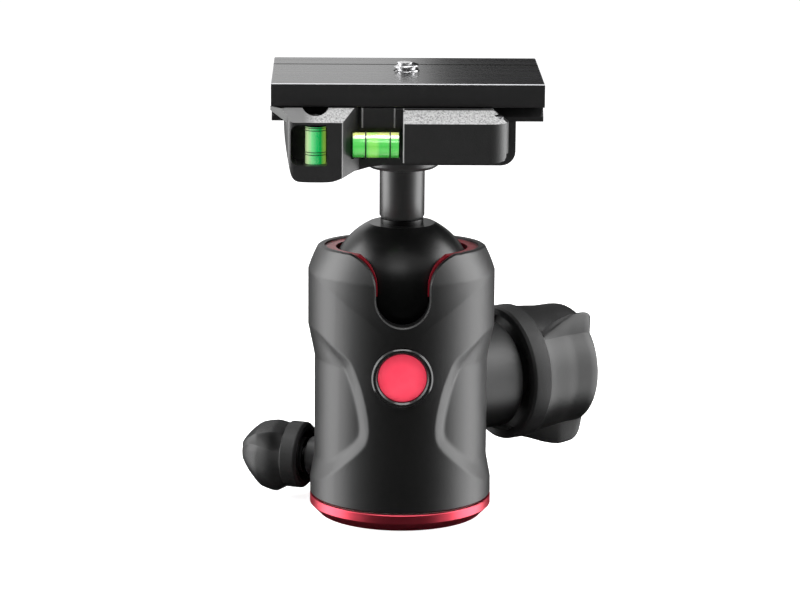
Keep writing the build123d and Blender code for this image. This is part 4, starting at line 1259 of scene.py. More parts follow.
    def edge_ring(self, shift: float, radius: Callable[[np.ndarray, np.ndarray], np.ndarray]) -> np.ndarray:
        """Return one ring of points along the notch and the rim.

        Args:
            shift: How far into the material the ring runs.
            radius: The ring's radius from azimuth and height.

        Returns:
            The azimuth, height and radius of each point, one row each.
        """
        x, z = self.top_edge(shift)
        side = np.abs(self.azimuths)
        rim = side > self.corner_azimuth
        guess = radius(np.full_like(x, 30.0), z)
        corner = math.degrees(math.asin((self.notch_half + self.notch_flare) / float(guess[rim].mean())))
        beyond = (side - self.corner_azimuth) / (180 - self.corner_azimuth)
        azimuth = np.where(rim, corner + (180 - corner) * beyond, 0.0)
        for _ in range(6):
            out = radius(azimuth, z)
            azimuth = np.where(rim, azimuth, np.degrees(np.arcsin(np.minimum(x / out, 1.0))))
            rim_z = self.rim_height - shift + self.rim_rise * out * np.cos(np.radians(azimuth))
            z = np.where(rim, rim_z, soft_min(z, rim_z, self.corner_round))
        return np.stack([azimuth * np.sign(self.azimuths), z, radius(azimuth, z)])

    def shell(self) -> bpy.types.Object:
        """Build the body up to its bores: a closed tube, from the foot up outside and down inside.

        Returns:
            The solid.
        """
        bottom = self.azimuths
        rows = [
            ring(self.bore_radius, bottom, self.foot),
            ring(self.profile[0][1] - self.foot_edge, bottom, self.foot),
        ]
        azimuth_top, height_top, _ = self.edge_ring(self.edge, self.skin)
        low = self.foot + self.foot_edge
        for row in range(self.rows):
            share = row / (self.rows - 1)
            height = low + (height_top - low) * share
            turn = smooth_step(self.upright_share, 1.0, np.array(share))
            azimuth = bottom + (azimuth_top - bottom) * turn
            rows.append(ring(self.skin(azimuth, height), azimuth, height))
        azimuth, height, radius = self.edge_ring(0.0, lambda a, z: self.skin(a, z) - self.edge)
        rows.append(ring(np.maximum(radius, self.chamber_radius + 0.1), azimuth, height))
        azimuth, height, radius = self.edge_ring(0.0, lambda a, z: self.chamber_radius + 0 * z)
        rows.append(ring(radius, azimuth, height))
        for share in np.linspace(0, 1, self.inner_rows)[1:]:
            blend = bottom + (azimuth - bottom) * (1 - share)
            rows.append(ring(self.chamber_radius, blend, height + (self.chamber_foot - height) * share))
        rows.append(ring(self.guide_radius, bottom, self.chamber_foot))
        rows.append(ring(self.guide_radius, bottom, self.web_top))
        rows.append(ring(self.bore_radius, bottom, self.web_top))
        return add_mesh("housing_shell", np.vstack(rows), grid_faces(len(rows), self.columns, True))

    def build(self) -> list[bpy.types.Object]:
        """Build the body.

        Returns:
            The finished piece.
        """
        piece = self.shell()
        lock, pan, front = LOCK_AXIS.frame(), PAN_AXIS.frame(), LevelAxis(0.0, self.badge_height).frame()
        boss = (
            (self.boss_start, self.boss_radius), (self.boss_end - self.boss_edge, self.boss_radius),
            (self.boss_end, self.boss_radius - self.boss_edge),
        )
        well = tuple((level + 0.05, self.guide_radius - 0.05) for level in (self.web_top, self.chamber_foot))
        straight, mouth = self.badge_mouth
        recess = (
            (self.badge_floor, self.badge_radius), (straight, self.badge_radius),
            (mouth, self.badge_radius + self.badge_flare),
        )
        combine(piece, Change.JOIN, turned("boss", boss, lock, 160))
        combine(piece, Change.CUT, turned("well", well, Matrix.Identity(4), 240))
        combine(piece, Change.JOIN, turned("guide", self.guide, lock))
        combine(piece, Change.CUT, *(turned("lock_bore", bore, lock) for bore in self.lock_bores))
        combine(piece, Change.CUT, *(turned("pan_bore", bore, pan) for bore in self.pan_bores))
        combine(piece, Change.CUT, turned("recess", recess, front, 128))
        piece.name = "body_casting"
        dress(piece, Finishes.body_coat)
        shade(piece, 28.0)
        return [Seat("housing", "housing", "black_powder").take(piece)]


# ---------------------------------------------------------------- knobs
@dataclass(frozen=True)
class WingSection:
    """A knob's section at one distance out: lengths in millimetres, angles in degrees from the level."""

    along: float
    valley: float
    crest: float
    angle: float
    lower: float
    upper: float


class Hand(Enum):
    """Which way round a knob's angles run, seen from outside."""

    RIGHT = 1
    LEFT = -1


@dataclass
class WingedKnob:
    """A moulded knob: a collar that three wings grow out of, hollow towards the body.

    The inner and collar profiles hold distances out and radii in millimetres. The end profile holds
    distances out and shares of the last section's radii, or plain radii where a number is above 1.
    """

    node: str
    axis: LevelAxis
    sections: Sequence[WingSection]
    inner: Profile
    collar: Profile
    end: Profile
    hand: Hand = Hand.RIGHT
    rows: int = 40
    crisp: float = 24.0
    scoop_columns: int = 30
    flank_columns: int = 12
    crest_round: float = 0.12
    flank_power: float = 1.15
    wings: int = 3

    def flank(self, share: np.ndarray) -> np.ndarray:
        """Return how high a wing's flank stands over the valley.

        Args:
            share: How far down the flank each column lies, from 0 on the crest to 1.

        Returns:
            From 1 on the crest to 0.
        """
        soft = self.crest_round
        down = (np.hypot(share, soft) - soft) / (math.hypot(1, soft) - soft)
        return (1 - down) ** self.flank_power

    def section(self, along: float) -> tuple[np.ndarray, np.ndarray]:
        """Return the winged section at one distance out.

        Args:
            along: The distance out.

        Returns:
            The angle and the radius of each column.
        """
        marks = [s.along for s in self.sections]
        valley, crest, angle, lower, upper = (
            float(eased(marks, [getattr(s, key) for s in self.sections], np.array(along)))
            for key in ("valley", "crest", "angle", "lower", "upper")
        )
        pitch = 360 / self.wings
        falling = np.linspace(0, 1, self.flank_columns, endpoint=False)
        rising = np.linspace(1, 0, self.flank_columns, endpoint=False)
        scoop = np.linspace(0, 1, self.scoop_columns, endpoint=False)
        angles, radii = [], []
        for wing in range(self.wings):
            top = angle + pitch * wing
            angles += [
                top + falling * upper,
                top + upper + scoop * (pitch - lower - upper),
                top + pitch - rising * lower,
            ]
            radii += [
                valley + (crest - valley) * self.flank(falling),
                np.full(self.scoop_columns, valley),
                valley + (crest - valley) * self.flank(rising),
            ]
        return np.concatenate(angles), np.concatenate(radii)

    def points(self, along: float, angles: np.ndarray, radii: np.ndarray) -> np.ndarray:
        """Return a ring of points round the knob's own axis.

        Args:
            along: The ring's distance out.
            angles: Each point's angle.
            radii: Each point's radius, or one for all.

        Returns:
            One point a row.
        """
        out = self.axis.out()
        level = np.array([-out[1], out[0], 0.0]) * -self.hand.value
        phi = np.radians(angles)[:, None]
        radii = np.broadcast_to(radii, angles.shape)[:, None]
        centre = out * along + (0, 0, self.axis.height)
        return centre + radii * (np.cos(phi) * level + np.sin(phi) * np.array([0, 0, 1.0]))

    def build(self) -> list[bpy.types.Object]:
        """Build the knob.

        Returns:
            The finished piece.
        """
        first, last = self.sections[0].along, self.sections[-1].along
        angles, _ = self.section(first)
        round_part = (*self.inner, *self.collar)
        rings = [self.points(along, angles, np.array(radius)) for along, radius in round_part]
        wings_from = len(rings)
        rings += [self.points(along, *self.section(along)) for along in np.linspace(first, last, self.rows)]
        wings_to = len(rings)
        angles, radii = self.section(last)
        for along, size in self.end:
            rings.append(self.points(along, angles, radii * size if size <= 1 else np.array(size)))
        columns = len(angles)
        faces = tube_faces(len(rings), columns)
        if self.hand is Hand.LEFT:
            faces = [tuple(reversed(face)) for face in faces]
        piece = add_mesh(f"{self.node}_moulding", np.vstack(rings), faces)
        wing = self.flank_columns * 2 + self.scoop_columns

        def gripped(face: bpy.types.MeshPolygon) -> int:
            """Return 1 for a face of a scoop or a rising flank, 0 for the rest."""
            row, column = divmod(face.index, columns)
            return int(wings_from <= row < wings_to and column % wing >= self.flank_columns)

        dress_faces(piece, (Finishes.knob_grain, Finishes.knob_satin), gripped)
        face_out(piece)
        shade(piece, self.crisp)
        return [Seat(self.node, self.node, "knob_plastic").take(piece)]


def lock_knob() -> WingedKnob:
    """Describe the large knob that clamps the ball.

    Returns:
        The knob.
    """
    return WingedKnob(
        "lock_knob",
        LOCK_AXIS,
        sections=(
            WingSection(35.9, 17.25, 17.7, 42.0, 4.0, 4.0),
            WingSection(38.0, 16.9, 18.5, 44.5, 5.5, 6.0),
            WingSection(42.0, 16.5, 20.25, 48.5, 8.0, 9.0),
            WingSection(45.6, 16.2, 21.15, 51.0, 9.5, 11.0),
            WingSection(49.4, 16.2, 20.75, 51.8, 10.0, 12.0),
            WingSection(51.3, 16.0, 19.75, 52.0, 10.5, 12.5),
            WingSection(51.95, 15.7, 18.95, 52.0, 10.5, 12.5),
        ),
        inner=((46.0, 2.0), (46.0, 5.64), (30.2, 5.64), (30.2, 8.0), (35.0, 8.0), (35.0, 15.4)),
        collar=((30.4, 15.4), (30.4, 17.1), (31.0, 17.62), (31.3, 17.7), (35.5, 17.7), (35.75, 17.5)),
        end=((52.2, 0.955), (52.3, 0.9), (52.33, 9.5), (52.25, 9.05), (50.5, 9.05), (50.5, 2.0)),
    )


def pan_knob() -> WingedKnob:
    """Describe the small knob that clamps the pan.

    Returns:
        The knob.
    """
    return WingedKnob(
        "pan_knob",
        PAN_AXIS,
        sections=(
            WingSection(30.65, 7.95, 8.75, 51.0, 34.0, 60.0),
            WingSection(31.6, 7.9, 9.3, 49.0, 32.0, 70.0),
            WingSection(33.8, 7.9, 10.15, 45.0, 27.0, 84.0),
            WingSection(37.4, 7.3, 9.5, 42.0, 18.0, 90.0),
            WingSection(40.4, 5.7, 7.0, 42.0, 14.0, 90.0),
            WingSection(42.4, 3.9, 4.7, 42.0, 14.0, 80.0),
            WingSection(43.3, 2.9, 3.4, 42.0, 14.0, 70.0),
        ),
        inner=(
            (38.0, 1.0), (38.0, 2.97), (29.4, 2.97), (29.4, 4.6), (26.0, 4.6), (26.0, 4.62), (29.4, 4.64),
            (29.4, 6.8),
        ),
        collar=((26.0, 6.8), (26.0, 8.1), (26.6, 8.6), (26.9, 8.7), (30.4, 8.7), (30.55, 8.6)),
        end=((43.6, 0.75), (43.75, 0.45), (43.8, 0.2)),
        hand=Hand.LEFT,
        crisp=14.0,
        crest_round=0.03,
    )


# ---------------------------------------------------------------- clamp
CLAMP_AXIS = (0.0, 0.0)
LEVER_PIVOT = (23.2, -23.1)
UPRIGHT_LEVEL = (-22.0, -21.7)
LYING_LEVEL = (-23.0, 100.05)
JAW_PIN_X = (6.6, 11.6)
JAW_PIN_Z = 99.4
CLAMP_FINISHES = (Finishes.clamp_coat, Finishes.brow_coat, Finishes.edge_highlight_coat, Finishes.print_and_shade_black)


def clamp_side(face: bpy.types.MeshPolygon) -> int:
    """Choose a clamp face's finish.

    Args:
        face: A face of the body or the lever.

    Returns:
        1 for the front slope with painted light, 2 for an upright edge with a painted highlight, 3 under the
        lip with painted shade, 0 for the rest.
    """
    # the front slopes take the lighter sanded coat as painted light from above
    if face.normal.z > 0.6 and face.normal.y < -0.3 and face.center.z > 0.1055:
        return 1
    x = face.center.x / MM
    # the lip under the plate takes near-black as a painted shadow of the plate
    if x < -28.6 and face.center.z > 0.1046:
        return 3
    # an upright face turned to the front; on the pod's and the lever's edges it takes a painted highlight
    painted_lit = abs(face.normal.z) < 0.3 and face.normal.y < -0.35
    pod_edge = -16.0 < x < -14.6 and 0.08 < face.normal.x < 0.75
    lever_edge = -0.6 < x < 0.3 and face.normal.x < -0.2
    return 2 * int(painted_lit and (pod_edge or lever_edge))


@dataclass
class ClampBody:
    """The cast clamp: a block with a fixed jaw, the levels' pod and cradle, and the lever's lug.

    Lengths in millimetres.
    """

    left: float = -27.5
    right: float = 27.95
    front: float = -19.0
    back: float = 24.4
    foot: float = 94.3
    foot_round: float = 3.6
    deck: float = 105.4
    top: float = 109.3
    pod_front: float = -27.0
    pod_view: Outline = (
        (-29.9, 109.3), (-29.9, 104.4), (-29.55, 100.6), (-28.9, 96.8), (-28.4, 94.2), (-27.9, 92.5),
        (-26.9, 91.5), (-25.2, 91.22), (-19.0, 91.2), (-17.2, 91.5), (-15.3, 92.3), (-12.8, 93.2),
        (-10.8, 93.95), (-9.4, 94.35), (-8.4, 94.6), (-8.4, 109.3),
    )
    pod_plan: Outline = (
        (-30.5, -17.5), (-30.2, -21.5), (-28.6, -27.0, 1.9), (-15.3, -27.0, 0.5), (-11.0, -21.0, 0.5),
        (-8.6, -20.9), (-8.6, -17.5),
    )
    lip_plan: Outline = ((-28.5, -25.6), (-33.3, -20.0), (-33.3, -19.4), (-28.5, -19.4))
    lip_under: Outline = ((-29.3, 90.0), (-29.3, 106.0), (-34.5, 108.9), (-34.5, 90.0))
    lip_reach: tuple[float, float] = (-30.0, -15.0)
    brow: Outline = ((-28.0, 105.45), (-22.99, 109.3), (-22.99, 120.0), (-28.0, 120.0))
    brow_reach: tuple[float, float] = (-36.0, -2.0)
    fixed_jaw: Outline = (
        (19.1, 105.0), (19.1, 106.65), (16.45, 109.3), (20.5, 109.3), (24.4, 105.9), (24.4, 105.0),
    )
    way: Outline = (
        (-19.1, 105.4), (-19.1, 106.65), (-16.45, 110.0), (16.45, 110.0), (16.45, 109.3), (19.1, 106.65),
        (19.1, 105.4),
    )
    way_reach: tuple[float, float] = (-40.0, 40.0)
    window: Outline = (
        (-28.15, 95.35, 1.9), (-28.15, 105.6, 1.9), (-19.1, 105.6, 0.5), (-19.1, 95.35, 0.5),
    )
    window_back: float = -18.2
    cradle: Outline = (
        (-15.0, 93.0), (-15.0, 98.0), (-0.9, 98.0), (-0.9, 95.3), (-8.5, 94.2), (-12.0, 93.2),
    )
    cradle_front: float = -21.2
    lip_foot: float = 104.6
    lip_top: float = 109.2
    lug_foot: float = 97.0
    lug_top: float = 98.0
    lug_radius: float = 2.0
    lug_bore: float = 1.53
    lug_root: float = 1.0
    below: float = 90.0
    above: float = 112.0
    tower_bore: float = 2.83
    tower_floor: float = 94.17
    plug_bore: float = 3.48
    plug_floor: float = 105.0
    level_bore: float = 3.53
    level_start: float = -13.13
    level_reach: float = 14.0
    bolt_bore: float = 3.03
    bolt_head_bore: float = 5.43
    bolt_head_floor: float = 101.6
    index_place: Place = (6.4, 0.0)
    index_bore: float = 1.03
    index_roof: float = 96.8
    jaw_bores: Sequence[tuple[float, float]] = ((2.2, 6.6), (1.26, 20.6))
    edge: float = 0.3

    def block(self) -> bpy.types.Object:
        """Build the block that the rest of the clamp grows from.

        Returns:
            The block.
        """
        view = (
            (self.left, self.foot), (self.right, self.foot, self.foot_round), (self.right, self.deck),
            (self.left, self.deck),
        )
        return prism("clamp_casting", corner_arcs(view), Along.Y, self.front, self.back)

    def pod(self) -> bpy.types.Object:
        """Build the pod that holds the upright level.

        Returns:
            The pod.
        """
        pod = prism("pod", rounded(self.pod_view, 2), Along.Y, self.pod_front - 1, self.front + 1.0)
        plan = prism("pod_plan", corner_arcs(self.pod_plan), Along.Z, self.foot - 10, self.top + 10)
        combine(pod, Change.KEEP, plan)
        return pod

    def lip(self) -> bpy.types.Object:
        """Build the lip at the pod's left, under the plate.

        Returns:
            The lip.
        """
        lip = prism("lip", self.lip_plan, Along.Z, self.lip_foot, self.lip_top)
        combine(lip, Change.CUT, prism("lip_under", self.lip_under, Along.Y, *self.lip_reach))
        return lip

    def lug(self) -> bpy.types.Object:
        """Build the lug that the lever's pin stands in.

        Returns:
            The lug.
        """
        (x, y), half, sunk = LEVER_PIVOT, self.lug_root, self.front + 0.5
        root = ((x - half, y), (x + half, y), (x + half, sunk), (x - half, sunk))
        lug = post("lug", x, y, self.lug_radius, self.lug_foot, self.lug_top)
        combine(lug, Change.JOIN, prism("lug_root", root, Along.Z, self.lug_foot, self.lug_top))
        combine(lug, Change.CUT, post("lug_bore", x, y, self.lug_bore, self.lug_foot - 1, self.lug_top + 1))
        return lug

    def seats(self) -> list[bpy.types.Object]:
        """Build what cuts the window, the levels' seats and the bores of bolt and pins.

        Returns:
            The tools, in the order that they cut in.
        """
        tools = [
            prism("window", corner_arcs(self.window), Along.Y, self.pod_front - 2, self.window_back),
            post("tower_seat", *UPRIGHT_LEVEL, self.tower_bore, self.tower_floor, self.plug_floor + 0.1),
            post("plug_seat", *UPRIGHT_LEVEL, self.plug_bore, self.plug_floor, self.above),
            rod("level_seat", Along.X, (self.level_start, *LYING_LEVEL), self.level_bore, self.level_reach),
            post("bolt_bore", *CLAMP_AXIS, self.bolt_bore, self.below, self.above),
            post("bolt_head_bore", *CLAMP_AXIS, self.bolt_head_bore, self.bolt_head_floor, self.above),
            post("index_bore", *self.index_place, self.index_bore, self.below, self.index_roof),
        ]
        for x in JAW_PIN_X:
            start = (x, self.front - 1, JAW_PIN_Z)
            tools += [rod("jaw_bore", Along.Y, start, radius, depth) for radius, depth in self.jaw_bores]
        return tools

    def build(self) -> list[bpy.types.Object]:
        """Build the clamp's body.

        Returns:
            The finished piece.
        """
        piece = self.block()
        cradle = prism("cradle", self.cradle, Along.Y, self.cradle_front, self.front + 0.5)
        combine(piece, Change.JOIN, self.pod(), self.lip(), cradle)
        combine(piece, Change.CUT, prism("brow", self.brow, Along.X, *self.brow_reach))
        combine(piece, Change.JOIN, prism("jaw", self.fixed_jaw, Along.X, self.left, self.right))
        combine(piece, Change.CUT, prism("way", self.way, Along.X, *self.way_reach), *self.seats())
        combine(piece, Change.JOIN, self.lug())
        dress_faces(piece, CLAMP_FINISHES, clamp_side)
        soften(piece, self.edge)
        shade(piece)
        return [Seat("clamp_body", "head", "black_powder").take(piece)]


@dataclass
class Turning:
    """One turned piece: a profile of heights and radii round an upright axis, in millimetres."""

    name: str
    seat: Seat
    finish: Finish
    profile: Profile
    axis: Place = CLAMP_AXIS
    bores: Sequence[tuple[float, float, float, float, float]] = ()

    def build(self) -> list[bpy.types.Object]:
        """Build the piece.

        Returns:
            The finished piece.
        """
        piece = turned(self.name, self.profile, Matrix.Translation((*self.axis, 0)), 144)
        combine(piece, Change.CUT, *(post("bore", *bore) for bore in self.bores))
        dress(piece, self.finish)
        shade(piece)
        return [self.seat.take(piece)]


def stem() -> Turning:
    """Describe the stem with its flange under the clamp.

    Returns:
        The stem.
    """
    neck = ((77.4, 5.3), (78.2, 5.8), (90.3, 5.8))
    flange = ((90.35, 7.2), (90.6, 8.3), (91.1, 9.1), (91.7, 9.42), (94.28, 9.45))
    body = ClampBody()
    bolt = (*CLAMP_AXIS, body.bolt_bore, 84.3, 96.0)
    index = (*body.index_place, body.index_bore, 91.7, 96.0)
    seat = Seat("stem", "head", "bare_aluminium")
    return Turning("stem_turned", seat, Finishes.stem_satin, (*neck, *flange), bores=(bolt, index))


def level_plug() -> Turning:
    """Describe the plug over the upright level.

    Returns:
        The plug.
    """
    profile = ((105.03, 3.4), (106.9, 3.4), (107.1, 3.2), (107.1, 2.7), (106.0, 2.3), (106.0, 0.2))
    seat = Seat("vertical_plug", "head", "knob_plastic")
    return Turning("vertical_level_plug", seat, Finishes.gloss_black, profile, UPRIGHT_LEVEL)


@dataclass
class Lever:
    """The lever that draws the movable jaw in, with the pin and the spring that it turns on.

    Lengths in millimetres.
    """

    left: float = -0.35
    front: float = -27.0
    back: float = -22.6
    foot: float = 96.2
    foot_round: float = 3.0
    brow: float = 106.0
    top: float = 109.3
    slope: float = 0.7727
    right: float = 26.0
    corner: float = 4.8
    heel: float = -19.6
    heel_left: float = 20.4
    back_right: float = 19.2
    deepest_inset: float = 3.9
    recess_top: float = 98.2
    lug_gap: Profile = ((-1.4, 0.0), (0.0, -1.25), (4.4, -1.65))
    gap_back: float = -15.0
    lug_way: float = 2.2
    spring_well: tuple[float, float, float] = (2.15, 98.0, 102.6)
    pin_way: tuple[float, float, float] = (1.56, 98.0, 107.9)
    spring_foot: float = 98.3
    below: float = 90.0
    above: float = 112.0
    ahead: float = -30.0
    edge: float = 0.3
    pin: Profile = ((96.35, 1.9), (96.98, 1.9), (96.98, 1.5), (107.3, 1.5), (107.5, 1.3))

    def plan(self, inset: float) -> np.ndarray:
        """Return the lever's outline from above.

        Args:
            inset: How far its front and right sides stand in.

        Returns:
            The outline's points.
        """
        front, right = self.front + inset, self.right - inset
        corners = (
            (self.left, self.back - 0.02, 0.3),
            (self.left, min(front, self.back - 0.9), 0.4),
            (right, front, max(self.corner - inset, 0.15)),
            (right, self.heel, 1.8),
            (self.heel_left, self.heel, 1.2),
            (self.back_right, self.back, 0.6),
        )
        return corner_arcs(corners, 10)

    def casting(self) -> bpy.types.Object:
        """Build the lever's solid: its plan, sloped in at the top and rounded at its lower right.

        Returns:
            The solid.
        """
        rings = []
        for level in (self.foot, *np.linspace(self.brow, self.top, 9)):
            flat = self.plan(min(max(level - self.brow, 0.0) / self.slope, self.deepest_inset))
            rings.append(np.column_stack([flat, np.full(len(flat), level)]))
        piece = loft("lever_casting", rings)
        end, right, high = self.left - 1, self.right, self.above
        view = ((end, self.foot), (right, self.foot, self.foot_round), (right, high), (end, high))
        around = prism("lever_view", corner_arcs(view), Along.Y, self.ahead, self.gap_back)
        combine(piece, Change.KEEP, around)
        return piece

    def recess(self) -> list[bpy.types.Object]:
        """Build what cuts the room of the lug, the spring and the pin.

        Returns:
            The tools.
        """
        x, y = LEVER_PIVOT
        gap = [(x + right, y + back) for right, back in self.lug_gap]
        gap += [(gap[-1][0], self.gap_back), (gap[0][0], self.gap_back)]
        return [
            prism("lug_gap", gap, Along.Z, self.below, self.recess_top),
            post("lug_way", x, y, self.lug_way, self.below, self.recess_top),
            post("spring_well", x, y, *self.spring_well),
            post("pin_way", x, y, *self.pin_way),
        ]

    def build(self) -> list[bpy.types.Object]:
        """Build the lever, its pin and its spring.

        Returns:
            The finished pieces.
        """
        piece = self.casting()
        combine(piece, Change.CUT, *self.recess())
        dress_faces(piece, CLAMP_FINISHES, clamp_side)
        soften(piece, self.edge)
        shade(piece)
        x, y = LEVER_PIVOT
        pin = turned("lever_pivot", self.pin, Matrix.Translation((x, y, 0)), 64)
        dress(pin, Finishes.dark_steel)
        shade(pin)
        foot = (x, y, self.spring_foot)
        spring = coil("lever_return_spring", foot, radius=1.83, wire=0.2, pitch=0.8, length=3.6)
        dress(spring, Finishes.steel)
        shade(spring, 60.0)
        return [
            Seat("lever", "lever", "black_powder").take(piece),
            Seat("lever_pin", "head", "dark_steel").take(pin),
            Seat("lever_spring", "head", "steel").take(spring),
        ]


def coil(
    name: str, foot: Sequence[float], radius: float, wire: float, pitch: float, length: float
) -> bpy.types.Object:
    """Wind an upright helical spring of round wire.

    Args:
        name: The piece's name.
        foot: The lower end of its axis in millimetres.
        radius: Of the coil.
        wire: The wire's radius.
        pitch: Rise in one turn.
        length: From the lowest to the highest point of the wire's middle.

    Returns:
        The spring.
    """
    turns = length / pitch
    steps, around = int(turns * 28), 10
    phi = np.arange(around)[:, None] * math.tau / around
    rings = []
    for share in np.linspace(0, 1, steps):
        turn = share * turns * math.tau
        out = np.array([math.cos(turn), math.sin(turn), 0.0])
        middle = np.array(foot) + out * radius + (0, 0, share * length + wire)
        rings.append(middle + wire * (np.cos(phi) * out + np.sin(phi) * np.array([0, 0, 1.0])))
    return loft(name, rings)


def is_pad_edge(face: bpy.types.MeshPolygon) -> int:
    """Return 1 for a slanted side of the jaw's pad, which takes a painted highlight, 0 for the rest."""
    return int(abs(face.normal.x) > 0.3 and abs(face.normal.y) > 0.3)


@dataclass
class MovableJaw:
    """The sprung jaw in front of the plate's dovetail. Lengths in millimetres."""

    left: float = -10.8
    right: float = 13.2
    bar: Outline = (
        (-22.3, 104.2), (-22.3, 108.9), (-21.9, 109.3), (-16.45, 109.3), (-19.1, 106.65), (-19.1, 105.6),
        (-19.12, 105.6), (-19.12, 104.2),
    )
    pad: Outline = (
        (-10.6, -22.2), (-10.6, -22.4), (-10.2, -22.75), (-2.6, -22.75), (-2.2, -22.4), (-2.2, -22.2),
    )
    pad_height: tuple[float, float] = (104.3, 109.2)
    leg_left: float = 5.0
    leg_foot: float = 96.6
    leg_top: float = 108.3
    leg_depth: tuple[float, float] = (-22.3, -19.12)
    pin_bore: float = 1.23

    def build(self) -> list[bpy.types.Object]:
        """Build the jaw.

        Returns:
            The finished piece.
        """
        piece = prism("movable_jaw_casting", self.bar, Along.X, self.left, self.right)
        leg = (
            (self.leg_left, self.leg_foot), (self.leg_left, self.leg_top), (self.right, self.leg_top),
            (self.right, self.leg_foot),
        )
        combine(piece, Change.JOIN, prism("jaw_pad", self.pad, Along.Z, *self.pad_height))
        combine(piece, Change.JOIN, prism("jaw_leg", leg, Along.Y, *self.leg_depth))
        bores = (rod("pin_bore", Along.Y, (x, -24.0, JAW_PIN_Z), self.pin_bore, 6.0) for x in JAW_PIN_X)
        combine(piece, Change.CUT, *bores)
        dress_faces(piece, (Finishes.clamp_coat, Finishes.edge_highlight_coat), is_pad_edge)
        shade(piece)
        return [Seat("movable_jaw", "jaw", "black_powder").take(piece)]


def plate_side(face: bpy.types.MeshPolygon) -> int:
    """Return 1 for a face of the chamfer round the plate's top, 2 for the top and 0 for the rest."""
    high = face.center.z > 0.113
    return 2 * int(high and face.normal.z > 0.95) + int(high and 0.3 < face.normal.z < 0.95)


@dataclass
class Plate:
    """The quick-release plate with its groove and its threaded camera screw. Lengths in millimetres."""

    left: float = -33.1
    right: float = 34.9
    half: float = 22.5
    foot: float = 109.45
    foot_round: float = 0.4
    top: float = 115.35
    chamfer: float = 0.2
    dovetail: Outline = (
        (-19.0, 105.45), (-19.0, 106.6), (-16.1, 109.5), (-16.1, 110.2), (16.1, 110.2), (16.1, 109.5),
        (19.0, 106.6), (19.0, 105.45),
    )
    groove: tuple[float, float] = (9.85, 10.85)
    groove_depth: float = 0.5
    screw_x: float = 0.9
    screw_top: float = 117.5
    screw_radius: float = 3.175
    screw_core: float = 2.4
    screw_gap: float = 0.15
    screw_well: float = 7.0
    screw_well_top: float = 109.8
    screw_head: Profile = ((106.1, 6.0), (108.3, 6.0), (108.5, 5.8), (108.5, 2.4))
    screw_slot: Outline = ((-9.0, -0.65), (9.0, -0.65), (9.0, 0.65), (-9.0, 0.65))
    pitch: float = 1.27
    thread_depth: float = 0.72
    thread_flank: tuple[float, float] = (0.06, 0.42)
    thread_start: float = 0.8
    point_taper: float = 0.9
    point_length: float = 0.75
    columns: int = 96
    rows: int = 56

    def slab(self) -> bpy.types.Object:
        """Build the plate without its groove and bores.

        Returns:
            The plate.
        """
        half, cut, high = self.half, self.chamfer, self.top - self.chamfer
        side = (
            (-half, self.foot, self.foot_round), (-half, high), (-half + cut, self.top),
            (half - cut, self.top), (half, high), (half, self.foot, self.foot_round),
        )
        view = (
            (self.left, self.foot), (self.left, high), (self.left + cut, self.top),
            (self.right - cut, self.top), (self.right, high), (self.right, self.foot),
        )
        piece = prism("plate_slab", corner_arcs(side, 3), Along.X, self.left, self.right)
        combine(piece, Change.KEEP, prism("plate_view", view, Along.Y, -30.0, 30.0))
        rail = prism("dovetail", self.dovetail, Along.X, self.left + 0.1, self.right - 0.1)
        combine(piece, Change.JOIN, rail)
        return piece

    def screw(self) -> bpy.types.Object:
        """Build the camera screw with its thread's turns.

        Returns:
            The screw, undressed.
        """
        turn = np.arange(self.columns) * math.tau / self.columns
        start, point = self.top - self.thread_start, self.screw_top - self.point_length
        rows = [(z, np.full_like(turn, radius)) for z, radius in self.screw_head]
        rows.append((start - 0.1, np.full_like(turn, self.screw_core)))
        for z in np.linspace(start, self.screw_top, self.rows):
            phase = (z / self.pitch - turn / math.tau) % 1.0
            crest = smooth_step(*self.thread_flank, np.abs(phase - 0.5))
            radius = self.screw_radius - self.thread_depth * (1 - crest)
            radius = radius - self.point_taper * smooth_step(point, self.screw_top + 0.1, np.array(z))
            rows.append((z, np.minimum(radius, self.screw_core + 3.0 * (z - start))))
        x, y = np.cos(turn), np.sin(turn)
        rings = [np.stack([self.screw_x + r * x, r * y, np.full_like(turn, z)], 1) for z, r in rows]
        piece = loft("camera_screw_threaded", rings)
        combine(piece, Change.CUT, prism("slot", self.screw_slot, Along.Z, 105.0, 107.2))
        return piece

    def build(self) -> list[bpy.types.Object]:
        """Build the plate and its screw.

        Returns:
            The finished pieces.
        """
        piece = self.slab()
        low, (near, far) = self.top - self.groove_depth, self.groove
        groove = ((near, low), (near, 120.0), (far, 120.0), (far, low))
        combine(
            piece,
            Change.CUT,
            prism("groove", groove, Along.X, -50.0, 50.0),
            post("screw_bore", self.screw_x, 0.0, self.screw_radius + self.screw_gap, 100.0, 120.0),
            post("screw_well", self.screw_x, 0.0, self.screw_well, 100.0, self.screw_well_top),
        )
        dress_faces(piece, (Finishes.plate_black, Finishes.plate_edge, Finishes.plate_top), plate_side)
        shade(piece, 20.0)
        screw = self.screw()
        dress(screw, Finishes.steel)
        shade(screw, 50.0)
        return [
            Seat("quick_release_plate", "plate", "black_anodised").take(piece),
            Seat("camera_screw", "camera_screw", "steel").take(screw),
        ]


